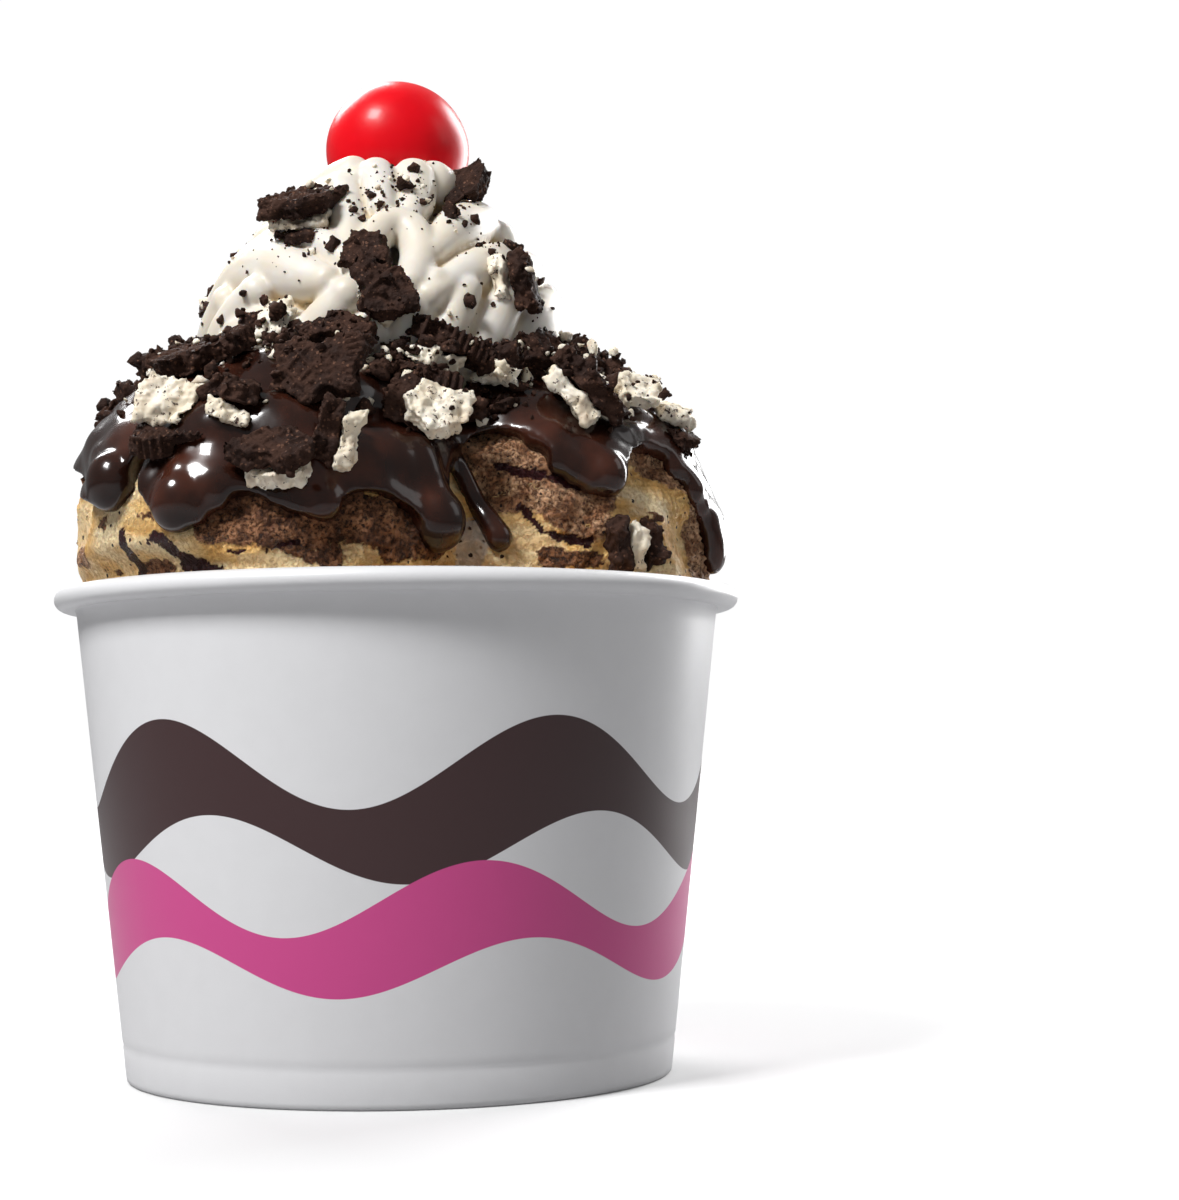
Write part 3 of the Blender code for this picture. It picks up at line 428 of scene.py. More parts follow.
def paperFinish():
    material, tree, shader = newMaterial("coatedPaper")
    coords = objectCoords(tree)
    shader.inputs["Roughness"].default_value = 0.40
    shader.inputs["Specular IOR Level"].default_value = 0.5
    shader.inputs["Coat Weight"].default_value = 0.25
    shader.inputs["Coat Roughness"].default_value = 0.28
    split = addNode(tree, "ShaderNodeSeparateXYZ", {"Vector": coords})
    angle = maths(tree, "ARCTAN2", split.outputs["Y"], split.outputs["X"])
    mottle = ramped(tree, noiseAt(tree, coords, 260.0, 4.0), 0.3, 0.7)
    colour = mixColour(tree, mottle, tuple(c * 0.985 for c in cup["white"]), cup["white"])
    for ribbon in cup["ribbons"]:
        mask = ribbonMask(tree, angle, split.outputs["Z"], ribbon)
        colour = mixColour(tree, mask, colour, ribbon["colour"])
    tree.links.new(colour, shader.inputs["Base Color"])
    bumped(tree, shader, noiseAt(tree, coords, 2200.0, 2.0), 0.06, 0.0001)
    return material


# The pressed mass of ice cream: the middle of each scoop, and its radius

iceCream = {
    "scoops": (
        ((-17.0, -13.8, 84.0), 35.0),
        ((19.8, -2.8, 85.0), 32.5),
        ((-2.0, 19.5, 83.0), 32.5),
    ),
    "plugTop": 77.0 * mm,
    "plugFloor": 60.0 * mm,
    "voxel": 2.0 * mm,
    "fineVoxel": 0.42 * mm,
    "crag": 2.0 * mm,
    "cragGrain": 9.0 * mm,
    "wallGap": 0.25 * mm,
    "keepAbove": 66.0 * mm,
}


def addBall(centre, radius, subdivisions=4):
    bpy.ops.mesh.primitive_ico_sphere_add(subdivisions=subdivisions, radius=radius, location=centre)
    settle(bpy.context.object)
    return bpy.context.object


def makeMass():
    # the same lumps, blended and roughened, as the solids are cut from
    balls = [addBall(Vector(centre) * mm, radius * mm, 5) for centre, radius in iceCream["scoops"]]
    floor, top = cup["baseRecess"], iceCream["plugTop"]
    bpy.ops.mesh.primitive_cone_add(
        vertices=96,
        radius1=wallRadius(floor) + 1.0 * mm,
        radius2=wallRadius(top) - 0.5 * mm,
        depth=top - floor + 4.0 * mm,
        location=(0, 0, (top + floor - 4.0 * mm) / 2),
    )
    settle(bpy.context.object)
    mass = joinPieces([bpy.context.object, *balls], "mass")
    remeshed(mass, iceCream["voxel"], 6)
    grain, seed = iceCream["cragGrain"], Vector((3.0, 5.1, 0.9))
    pushOut(mass, lambda p, n: iceCream["crag"] * noise.fractal(p / grain + seed, 0.9, 2.0, 3))
    applyModifier(mass, "SUBSURF", levels=1, render_levels=1)
    return mass


def wallLimit(height):
    # how far out ice cream may reach: the cup's inside, then the rim's outside above the bead
    inner = wallRadius(min(height, cup["height"] - 3.5 * mm)) - cup["paper"] - iceCream["wallGap"]
    free = min(1.0, max(0.0, (height - cup["height"] - 0.5 * mm) / (5.0 * mm)))
    return inner + (cup["rimRadius"] - 1.0 * mm - inner) * free * free * (3 - 2 * free)


# Colours of the ice cream, and the strokes of what is folded through it: each runs from one
# point to another, in millimetres, with its half width

swirl = {
    "tan": (0.88, 0.56, 0.22),
    "paleTan": (0.95, 0.76, 0.46),
    "honey": (0.76, 0.42, 0.13),
    "chocolate": (0.135, 0.054, 0.025),
    "brown": (0.33, 0.150, 0.070),
    "lightChocolate": (0.62, 0.37, 0.215),
    # painted shade for the pits of the grain, in chocolate, light chocolate and tan
    "cocoaPitShade": (0.034, 0.012, 0.006),
    "milkPitShade": (0.120, 0.050, 0.024),
    "tanPitShade": (0.54, 0.28, 0.085),
    "ripple": (0.034, 0.009, 0.010),
    "frost": (0.66, 0.54, 0.44),
    "warp": 1.3,
    "strokes": (
        ("ripple", (-42.2, -37.7, 86.0), (-41.9, -37.7, 80.9), 1.2),
        ("ripple", (-36.9, -42.3, 85.5), (-34.4, -44.4, 81.5), 1.1),
        ("ripple", (-34.4, -44.4, 81.4), (-29.0, -47.9, 80.5), 1.4),
        ("ripple", (-25.7, -47.8, 82.9), (-14.8, -48.3, 83.4), 0.4),
        ("ripple", (18.3, -34.3, 90.3), (22.3, -34.6, 86.5), 0.7),
        ("ripple", (22.3, -34.6, 86.5), (29.9, -33.4, 85.4), 0.7),
        ("ripple", (15.5, -33.6, 97.0), (27.5, -33.5, 94.4), 0.9),
        ("chocolate", (-41.1, -38.4, 80.6), (-37.2, -41.4, 80.3), 1.7),
        ("chocolate", (-27.5, -46.3, 88.4), (-12.6, -47.6, 86.2), 4.2),
        ("chocolate", (-30.5, -45.3, 89.0), (-24.0, -46.5, 88.0), 1.8),
        ("chocolate", (-15.3, -48.5, 83.8), (-10.5, -47.1, 82.3), 2.3),
        ("chocolate", (-8.3, -46.7, 88.4), (1.6, -44.5, 86.6), 3.9),
        ("chocolate", (-1.1, -45.5, 84.1), (6.1, -40.3, 83.4), 2.2),
        ("light", (12.8, -30.5, 99.5), (20.8, -32.9, 98.6), 4.9),
        ("light", (15.7, -33.9, 94.2), (29.5, -32.4, 92.6), 4.6),
        ("light", (24.4, -33.9, 90.8), (30.6, -32.9, 88.6), 3.3),
        ("chocolate", (23.5, -34.5, 82.7), (30.5, -32.9, 83.1), 1.5),
        ("light", (40.1, -21.3, 100.0), (48.4, -12.2, 95.0), 5.2),
        ("light", (47.4, -14.2, 95.0), (49.4, -15.6, 81.8), 4.8),
        ("ridged", (34.4, -27.9, 99.6), (48.4, -12.2, 95.0), 6.5),
        ("ridged", (48.4, -12.2, 95.0), (49.6, -15.6, 81.8), 5.0),
        ("frost", (11.4, -35.2, 87.3), (10.7, -37.2, 81.4), 2.9),
        ("smooth", (18.3, -34.2, 85.6), (24.1, -34.3, 84.5), 2.6),
        ("smooth", (-23.5, -48.4, 81.2), (-15.9, -48.7, 81.0), 1.6),
        ("smooth", (34.4, -29.9, 93.6), (42.4, -26.1, 90.5), 1.4),
        ("smooth", (-48.0, -21.7, 97.6), (-44.6, -35.0, 90.3), 2.6),
        ("smooth", (-46.0, -31.7, 86.0), (-44.6, -35.0, 81.3), 2.0),
    ),
    "unseen": 46,
    "unseenFrom": -12.0,
    "unseenTo": 212.0,
}


def unseenStrokes(tree):
    # like strokes round the back, where each starts on the surface and runs along it
    rng = random.Random(23)
    kinds = ("chocolate", "light", "chocolate", "ripple", "ridged", "smooth", "light", "frost")
    found = []
    for k in range(swirl["unseen"]):
        degrees, height = rng.uniform(swirl["unseenFrom"], swirl["unseenTo"]), rng.uniform(80, 101)
        ends = []
        for turn, climb in ((0, 0), (rng.uniform(4, 13), rng.uniform(-5, 4))):
            angle = math.radians(degrees + turn)
            across = Vector((math.cos(angle), math.sin(angle), 0))
            start = across * 75 * mm + Vector((0, 0, (height + climb) * mm))
            ends.append(tree.ray_cast(start, -across)[0] / mm)
        kind = kinds[k % len(kinds)]
        width = rng.uniform(0.5, 1.1) if kind == "ripple" else rng.uniform(1.8, 4.2)
        found.append((kind, *ends, width))
    return found


def strokeDepth(places, strokes, kind):
    # 1 along the middle of each stroke of a kind, 0 at its edge and less outside
    deepest = np.full(len(places), -4.0)
    for name, first, second, width in strokes:
        if name == kind:
            start, run = np.array(first) * mm, (np.array(second) - np.array(first)) * mm
            share = np.clip((places - start) @ run / max(run @ run, 1e-12), 0, 1)
            apart = np.linalg.norm(places - start - share[:, None] * run, axis=1)
            deepest = np.maximum(deepest, 1 - apart / (width * mm))
    return deepest


def easedArray(values, low, high):
    share = np.clip((values - low) / (high - low), 0, 1)
    return share * share * (3 - 2 * share)


def makeIceCream(mass):
    makeActive(mass)
    bpy.ops.object.duplicate()
    piece = bpy.context.object
    piece.name = piece.data.name = "iceCream"
    bpy.ops.object.mode_set(mode="EDIT")
    bpy.ops.mesh.select_all(action="SELECT")
    bpy.ops.mesh.bisect(
        plane_co=(0, 0, iceCream["keepAbove"]), plane_no=(0, 0, 1), clear_inner=True, use_fill=True
    )
    bpy.ops.object.mode_set(mode="OBJECT")
    applyModifier(piece, "REMESH", mode="VOXEL", voxel_size=iceCream["fineVoxel"])
    places, normals = readVerts(piece)
    strokes = [*swirl["strokes"], *unseenStrokes(treeOf(mass))]
    scrape, lumps, ice = Vector((7, 1, 4)), Vector((2, 9, 3)), Vector((1, 5, 8))

    # the strokes' edges wander, broadly and then raggedly
    bends = np.array([noise.noise_vector(Vector(p) / (7 * mm) + lumps) for p in places])
    rags = np.array([noise.turbulence_vector(Vector(p) / (1.5 * mm) + ice, 3, False) for p in places])
    moved = places + bends * swirl["warp"] * mm + rags * 0.55 * mm
    depth = {kind: strokeDepth(moved, strokes, kind) for kind in ("ripple", "chocolate", "light", "frost")}
    broad = places + bends * swirl["warp"] * mm
    depth["smooth"] = strokeDepth(broad, strokes, "smooth")
    depth["ridged"] = strokeDepth(broad, strokes, "ridged")
    streaks = np.array(
        [noise.fractal(Vector((p[0], p[1], p[2] * 2.2)) / (8 * mm) + scrape, 0.7, 2.2, 3) for p in moved]
    )
    dark = easedArray(np.maximum(depth["chocolate"], (streaks - 0.62) * 2.5), -0.16, 0.20)
    light = easedArray(depth["light"], -0.16, 0.20) * (1 - dark)
    ripple = easedArray(depth["ripple"], -0.15, 0.15)
    frost = easedArray(depth["frost"], -0.15, 0.35)
    smooth = easedArray(depth["smooth"], -0.05, 0.45)
    ridged = easedArray(depth["ridged"], -0.10, 0.40)

    moves = np.zeros(len(places))
    for k, p in enumerate(places):
        if p[2] < 74 * mm:
            continue
        p = Vector(p)
        turned = Vector((p.x + 0.4 * p.z, p.y - 0.3 * p.z, p.z * 1.6))
        folds = noise.ridged_multi_fractal(turned / (15 * mm) + scrape, 0.9, 2.1, 3, 0.9, 2.0) - 1.1
        lump = noise.fractal(p / (3.0 * mm) + lumps, 0.8, 2.2, 3)
        grain = 1.3 * pebbles(p + ice * mm, 1.05 * mm) + 0.6 * noise.noise(p / (0.7 * mm) + ice)
        grainy = 0.20 + 0.34 * max(dark[k], light[k]) + 0.12 * frost[k]
        even = 1 - 0.85 * max(smooth[k], ripple[k])
        rib = math.sin(p.z / (1.15 * mm) * math.tau + 2.2 * noise.noise(p / (5 * mm)))
        moves[k] = (
            0.50 * folds + 0.42 * lump * even + grainy * grain * even
            + 0.17 * rib * ridged[k] + 0.30 * (dark[k] + light[k]) - 0.25 * ripple[k]
        )
    places += normals * moves[:, None] * mm
    for place in places:
        reach, limit = math.hypot(place[0], place[1]), wallLimit(place[2])
        if reach > limit:
            place[0] *= limit / reach
            place[1] *= limit / reach
    writeVerts(piece, places)
    for name, values in (("dark", dark), ("light", light), ("ripple", ripple), ("frost", frost), ("smooth", smooth)):
        layer = piece.data.attributes.new(name, "FLOAT", "POINT")
        layer.data.foreach_set("value", values.astype(np.float32))
    return piece


def iceCreamFinish():
    material, tree, shader = newMaterial("swirledIceCream")
    coords = objectCoords(tree)

    def painted(name):
        return addNode(tree, "ShaderNodeAttribute", attribute_name=name).outputs["Fac"]

    ragged = maths(tree, "MULTIPLY", maths(tree, "SUBTRACT", noiseAt(tree, coords, 1400.0, 4.0, 0.6), 0.5), 1.7)

    def crisp(name):
        # a painted edge, broken up by fine noise
        return ramped(tree, maths(tree, "ADD", painted(name), ragged), 0.18, 0.82)

    grain = useGroup(tree, crumbly, {"Vector": coords, "Grain": 1250.0})
    drawn = addNode(
        tree, "ShaderNodeVectorMath", {0: coords, 1: (0.7, 0.7, 1.9)}, operation="MULTIPLY"
    ).outputs[0]
    tone = noiseAt(tree, drawn, 210.0, 4.0, 0.6, 0.4)
    colour = mixColour(tree, ramped(tree, tone, 0.36, 0.60), swirl["honey"], swirl["tan"])
    pale = ramped(tree, noiseAt(tree, drawn, 95.0, 3.0), 0.44, 0.66)
    colour = mixColour(tree, pale, colour, swirl["paleTan"])
    colour = mixColour(tree, maths(tree, "MULTIPLY", painted("smooth"), 0.55), colour, swirl["paleTan"])
    # a fine grain: where it is low the bump sinks, and the chocolates take a painted shade colour there
    crumb = ramped(tree, noiseAt(tree, coords, 1500.0, 4.0, 0.75), 0.36, 0.54)
    patch = ramped(tree, noiseAt(tree, coords, 330.0, 3.0, 0.6), 0.38, 0.64)
    cocoa = mixColour(tree, patch, swirl["chocolate"], swirl["brown"])
    cocoa = mixColour(tree, crumb, swirl["cocoaPitShade"], cocoa)
    milky = mixColour(tree, patch, swirl["brown"], swirl["lightChocolate"])
    milky = mixColour(tree, crumb, swirl["milkPitShade"], milky)
    # painted shade in the pits of the tan
    pitShade = maths(tree, "MULTIPLY", maths(tree, "SUBTRACT", 1.0, crumb), 0.34)
    colour = mixColour(tree, pitShade, colour, swirl["tanPitShade"])
    colour = mixColour(tree, crisp("light"), colour, milky)
    colour = mixColour(tree, crisp("dark"), colour, cocoa)
    icy = mixColour(tree, grain.outputs["Pits"], swirl["frost"], swirl["chocolate"])
    colour = mixColour(tree, crisp("frost"), colour, icy)
    fleck = useGroup(tree, speckles, {"Vector": coords, "Spread": 620.0, "Size": 0.24})
    colour = mixColour(tree, fleck.outputs["Mask"], colour, (0.040, 0.018, 0.012))
    glossy = crisp("ripple")
    colour = mixColour(tree, glossy, colour, swirl["ripple"])
    tree.links.new(colour, shader.inputs["Base Color"])
    tree.links.new(ramped(tree, glossy, 0.0, 1.0, 0.50, 0.14), shader.inputs["Roughness"])
    shader.inputs["Subsurface Weight"].default_value = 0.22
    shader.inputs["Subsurface Radius"].default_value = (1.0, 0.55, 0.30)
    shader.inputs["Subsurface Scale"].default_value = 0.0014
    shader.inputs["Specular IOR Level"].default_value = 0.26
    calm = maths(tree, "MAXIMUM", glossy, maths(tree, "MULTIPLY", painted("smooth"), 0.8))
    height = maths(tree, "MULTIPLY", grain.outputs["Height"], ramped(tree, calm, 0.0, 1.0, 1.0, 0.08))
    crumby = maths(tree, "MAXIMUM", maths(tree, "MAXIMUM", painted("dark"), painted("light")), 0.35)
    height = maths(tree, "ADD", height, maths(tree, "MULTIPLY", crumb, maths(tree, "MULTIPLY", crumby, 1.3)))
    bumped(tree, shader, height, 0.9, 0.0006)
    return material


# Hot fudge: its thickness, the heights of its lower edge at named azimuths, and its drips

fudge = {
    "thickness": 2.6 * mm,
    "voxel": 0.5 * mm,
    "edgeSteps": 240,
    "edge": (
        (-180.0, 98.0), (-165.0, 100.0), (-156.0, 97.5), (-151.5, 95.8), (-146.0, 92.0), (-141.0, 91.0),
        (-138.0, 92.5), (-135.5, 99.5), (-133.5, 99.5), (-131.5, 91.0), (-129.0, 88.6), (-125.5, 87.0),
        (-121.5, 88.4), (-118.8, 91.2), (-116.0, 92.0), (-113.0, 91.0), (-109.5, 89.3), (-106.0, 88.2),
        (-102.5, 87.8), (-100.5, 90.5), (-97.5, 91.9), (-92.5, 91.6), (-89.0, 90.0), (-84.5, 87.0),
        (-80.5, 87.0), (-77.5, 98.0), (-75.0, 100.5), (-72.0, 101.0), (-69.8, 102.8), (-63.0, 103.2),
        (-60.2, 102.4), (-57.3, 100.6), (-55.3, 97.8), (-53.3, 95.6), (-48.7, 94.0), (-44.0, 93.6),
        (-41.6, 95.0), (-40.3, 98.0), (-37.7, 100.6), (-31.7, 101.9), (-27.3, 101.2), (-25.0, 98.4),
        (-22.5, 95.0), (-19.0, 92.0), (-14.0, 90.5), (-9.0, 91.5), (-4.0, 95.0), (4.0, 93.0),
        (16.0, 101.0), (30.0, 97.0), (52.0, 104.0), (66.0, 94.0), (82.0, 91.0), (94.0, 100.0),
        (108.0, 93.0), (121.0, 90.5), (134.0, 98.0), (150.0, 102.0), (164.0, 93.0), (180.0, 98.0),
    ),
    # where each drip leaves the fudge, where it ends, and the radius of its end
    "drips": (
        ((-147.0, 98.5), (-141.0, 94.6), 4.4), ((-126.0, 94.0), (-126.0, 90.5), 4.5),
        ((-103.0, 94.0), (-103.0, 90.2), 3.0), ((-86.5, 98.0), (-82.2, 87.9), 4.6),
        ((-77.0, 101.0), (-66.8, 85.9), 2.3), ((-47.0, 101.0), (-44.2, 96.3), 3.6),
        ((-18.0, 98.0), (-13.0, 85.0), 3.0), ((30.0, 98.0), (32.0, 89.0), 3.0),
        ((78.0, 94.0), (82.0, 88.0), 3.6), ((62.0, 97.0), (59.0, 86.0), 2.5),
        ((121.0, 94.0), (121.0, 88.5), 3.4), ((163.0, 98.0), (167.0, 86.5), 3.0),
        ((-176.0, 99.0), (-179.0, 90.0), 2.8),
    ),
    "dripBalls": 12,
    # the rounded rim: a ball every few degrees, whose radius swells and thins
    "rimBalls": 120,
    "rimRadius": 2.1 * mm,
    "rimSwell": 0.55,
    "rimLift": 1.4 * mm,
    "colour": (0.0165, 0.0052, 0.0030),
    "thin": (0.060, 0.017, 0.009),
}


def edgeHeight(degrees):
    for (left, low), (right, high) in zip(fudge["edge"], fudge["edge"][1:]):
        if left <= degrees <= right:
            share = (degrees - left) / (right - left)
            share = share * share * (3 - 2 * share)
            return (low + (high - low) * share) * mm


def makeCrown():
    # a square ring round the heap whose underside follows the fudge's lower edge
    inner, reach, top = 20.0 * mm, 69.0 * mm, 140.0 * mm
    bpy.ops.mesh.primitive_circle_add(vertices=fudge["edgeSteps"], radius=inner, location=(0, 0, 90 * mm))
    crown = bpy.context.object
    settle(crown)
    bpy.ops.object.mode_set(mode="EDIT")
    bpy.ops.mesh.select_all(action="SELECT")
    bpy.ops.mesh.extrude_edges_move()
    bpy.ops.transform.resize(value=(reach / inner, reach / inner, 1), center_override=(0, 0, 90 * mm))
    bpy.ops.mesh.extrude_edges_move()
    bpy.ops.transform.translate(value=(0, 0, top - 90 * mm))
    bpy.ops.mesh.extrude_edges_move()
    bpy.ops.transform.resize(value=(inner / reach, inner / reach, 1), center_override=(0, 0, top))
    bpy.ops.mesh.select_all(action="DESELECT")
    bpy.ops.mesh.select_non_manifold(extend=False, use_wire=False, use_boundary=True)
    bpy.ops.mesh.bridge_edge_loops()
    bpy.ops.mesh.select_all(action="SELECT")
    bpy.ops.mesh.normals_make_consistent(inside=False)
    bpy.ops.object.mode_set(mode="OBJECT")
    places, _ = readVerts(crown)
    for place in places:
        if place[2] < 100 * mm:
            place[2] = edgeHeight(math.degrees(math.atan2(place[1], place[0])))
    writeVerts(crown, places)
    return crown


def fudgeBulbs():
    # the azimuth, height and radius of each ball of the rim and of the drips
    for k in range(fudge["rimBalls"]):
        degrees = -180.0 + 360.0 * k / fudge["rimBalls"]
        swell = fudge["rimSwell"] * noise.noise(Vector((k * 0.35, 4.2, 0.7)))
        yield degrees, edgeHeight(degrees) + fudge["rimLift"], fudge["rimRadius"] * (1 + swell)
    for start, end, radius in fudge["drips"]:
        for k in range(fudge["dripBalls"]):
            share = k / (fudge["dripBalls"] - 1)
            degrees, height = (a + (b - a) * share for a, b in zip(start, end))
            yield degrees, height * mm, radius * mm * (0.72 + 0.28 * share**3)


def makeFudge(mass):
    makeActive(mass)
    bpy.ops.object.duplicate()
    piece = bpy.context.object
    pushOut(piece, lambda p, n: fudge["thickness"] * (1 + 0.16 * noise.noise(p / (9 * mm))))
    crown = makeCrown()
    applyModifier(piece, "BOOLEAN", operation="INTERSECT", solver="MANIFOLD", object=crown)
    removePiece(crown)
    tree = treeOf(mass)
    balls = []
    for degrees, height, size in fudgeBulbs():
        angle = math.radians(degrees)
        across = Vector((math.cos(angle), math.sin(angle), 0))
        hit = tree.ray_cast(across * 69 * mm + Vector((0, 0, height)), -across)[0]
        ball = addBall((0, 0, 0), size, 3)
        ball.scale = (0.85, 1.0, 1.1)
        ball.rotation_euler = (0, 0, angle)
        ball.location = hit + across * size * 0.3
        settle(ball)
        balls.append(ball)
    piece = joinPieces([piece, *balls], "hotFudge")
    remeshed(piece, fudge["voxel"], 16)
    return piece


def fudgeFinish():
    material, tree, shader = newMaterial("glossyFudge")
    coords = objectCoords(tree)
    tone = ramped(tree, noiseAt(tree, coords, 90.0, 3.0), 0.42, 0.72)
    tree.links.new(mixColour(tree, tone, fudge["colour"], fudge["thin"]), shader.inputs["Base Color"])
    tree.links.new(ramped(tree, noiseAt(tree, coords, 140.0, 2.0), 0.3, 0.7, 0.17, 0.27), shader.inputs["Roughness"])
    shader.inputs["Specular IOR Level"].default_value = 0.28
    shader.inputs["Coat Weight"].default_value = 0.45
    shader.inputs["Coat Roughness"].default_value = 0.06
    shader.inputs["Subsurface Weight"].default_value = 0.08
    shader.inputs["Subsurface Radius"].default_value = (1.0, 0.35, 0.2)
    shader.inputs["Subsurface Scale"].default_value = 0.0015
    bumped(tree, shader, noiseAt(tree, coords, 230.0, 2.0), 0.08, 0.0008)
    return material


# Whipped cream: petals laid over a core. Each is a tapering rope through points of azimuth,
# height and radius that lies just inside the envelope (height, reach from the axis)

cream = {
    "centre": Vector((-2.2, 0.5, 0.0)) * mm,
    "envelope": (
        (112, 30.0), (120, 31.8), (125, 31.2), (130, 28.8), (134, 26.0), (138, 22.8), (142, 19.2),
        (146, 15.8), (150, 12.8), (154, 9.0),
    ),
    "petals": (
        ((-168, 117, 5.6), (-151, 119.5, 6.6), (-134, 120.5, 6.6), (-118, 118.5, 4.8)),
        ((-124, 114, 5.6), (-112, 119, 5.4), (-102, 125.0, 3.6)),
        ((-105, 115, 4.8), (-100, 117, 4.8), (-95, 119, 4.2)),
        ((-178, 128, 5.6), (-162, 130.5, 6.8), (-144, 131.5, 7.0), (-126, 130, 5.4), (-109, 127.5, 3.2)),
        ((-178, 138.5, 5.0), (-156, 140.0, 5.4), (-138, 140.8, 5.4), (-122, 141.0, 4.6)),
        ((-128, 136.0, 3.4), (-116, 134.8, 3.8), (-106, 132.0, 3.4), (-100, 129.0, 2.6)),
        ((-121, 146, 3.8), (-112, 141.5, 3.8), (-104.5, 136.5, 3.4), (-103, 131.5, 2.6)),
        ((-98, 133.5, 2.6), (-93, 137.0, 3.0), (-84, 138.6, 3.3), (-76, 136.6, 3.4), (-75, 132.0, 3.3),
         (-81, 127.0, 2.8)),
        ((-98, 147.5, 4.0), (-92, 144.5, 3.8), (-91, 141.0, 3.0)),
        ((-64, 147.5, 4.2), (-71, 144.0, 3.9), (-77, 140.5, 3.0)),
        ((-24, 141, 4.6), (-46, 138.8, 4.6), (-62, 136.0, 3.9), (-72, 133.0, 2.8)),
        ((-8, 133.0, 5.4), (-32, 132.6, 5.2), (-52, 130.8, 4.4), (-66, 128.0, 3.6), (-76, 125.0, 2.6)),
        ((-87, 115, 4.2), (-81, 121.5, 4.0), (-73, 127.5, 2.9)),
        ((-73, 115, 4.4), (-69, 121, 4.2), (-63, 126.5, 3.2)),
        ((-59, 115, 5.0), (-54, 120.5, 4.8), (-46, 126.0, 3.8)),
        ((-44, 115, 5.6), (-36, 119.5, 5.6), (-25, 124, 5.0), (-13, 127.0, 4.2)),
        ((-30, 114, 5.6), (-16, 117.0, 6.2), (0, 119.5, 6.0), (13, 121.5, 5.0)),
        ((-42, 148.0, 4.0), (-20, 146.5, 4.2), (2, 144.5, 4.0)),
        ((-152, 146.0, 3.8), (-134, 147.5, 4.0), (-119, 148.5, 3.6)),
    ),
    # round the rest: first and last azimuth, step, and points measured from each azimuth
    "tiers": (
        (10, 196, 20, ((0, 114.5, 5.8), (11, 119, 6.0), (22, 123.5, 5.2), (32, 127.0, 3.8))),
        (0, 180, 25, ((0, 128.5, 5.4), (18, 131.5, 5.6), (36, 135.0, 4.8), (50, 138.0, 3.6))),
        (-10, 200, 32, ((0, 138.5, 4.8), (24, 141.5, 4.9), (46, 144.5, 4.2), (66, 147.0, 3.4))),
    ),
    "inset": 0.92,
    "voxel": 0.45 * mm,
    "rounds": 5,
    # each fold is deepened by a share of its depth against a much smoother surface
    "levelRounds": 190,
    "deepen": 0.55,
    # the depth at which a crease takes its full painted shade
    "creaseShadeDepth": 0.9 * mm,
    "white": (0.74, 0.705, 0.65),
    "warm": (0.72, 0.655, 0.55),
    # the colour of the painted shade in the creases
    "creaseShade": (0.60, 0.47, 0.29),
}


def envelopeAt(height):
    for (low, first), (high, second) in zip(cream["envelope"], cream["envelope"][1:]):
        if height <= high:
            break
    return first + (second - first) * max(0.0, height - low) / (high - low)


def creamPetals():
    petals = list(cream["petals"])
    for first, last, step, points in cream["tiers"]:
        for start in range(first, last, step):
            petals.append([(start + turn, height, radius) for turn, height, radius in points])
    for petal in petals:
        points = []
        for degrees, height, radius in petal:
            angle, reach = math.radians(degrees), envelopeAt(height) - cream["inset"] * radius
            place = Vector((reach * math.cos(angle), reach * math.sin(angle), height)) * mm
            points.append((cream["centre"] + place, radius * mm))
        yield points


def makeCream():
    curve = bpy.data.curves.new("creamPetals", "CURVE")
    curve.dimensions = "3D"
    curve.bevel_depth = 1.0
    curve.bevel_resolution = 8
    curve.resolution_u = 14
    curve.use_fill_caps = True
    balls = []
    for points in creamPetals():
        path = curve.splines.new("NURBS")
        path.points.add(len(points) - 1)
        path.order_u = 3
        path.use_endpoint_u = True
        for point, (place, radius) in zip(path.points, points):
            point.co = (*place, 1)
            point.radius = radius
        balls += [addBall(place, radius, 3) for place, radius in (points[0], points[-1])]
    petals = bpy.data.objects.new("creamPetals", curve)
    bpy.context.scene.collection.objects.link(petals)
    makeActive(petals)
    bpy.ops.object.convert(target="MESH")
    petals = bpy.context.object
    bpy.ops.mesh.primitive_cone_add(
        vertices=48, radius1=26 * mm, radius2=10 * mm, depth=34 * mm,
        location=cream["centre"] + Vector((0, 0, 129 * mm)),
    )
    core = bpy.context.object
    settle(core)
    balls.append(addBall(cream["centre"] + Vector((0, 0, 138.0 * mm)), 12.0 * mm))
    piece = joinPieces([petals, core, *balls], "whippedCream")
    remeshed(piece, cream["voxel"], cream["rounds"])
    places, normals = readVerts(piece)
    makeActive(piece)
    bpy.ops.object.duplicate()
    level = bpy.context.object
    applyModifier(level, "SMOOTH", iterations=cream["levelRounds"], factor=0.5)
    levelled, _ = readVerts(level)
    removePiece(level)
    depth = ((levelled - places) * normals).sum(axis=1)
    places -= normals * (depth * cream["deepen"])[:, None]
    writeVerts(piece, places)
    # the creases are marked for painted shade, by how deep they lie under the smoother copy
    layer = piece.data.attributes.new("creaseShade", "FLOAT", "POINT")
    layer.data.foreach_set("value", easedArray(depth, 0.0, cream["creaseShadeDepth"]).astype(np.float32))
    return piece


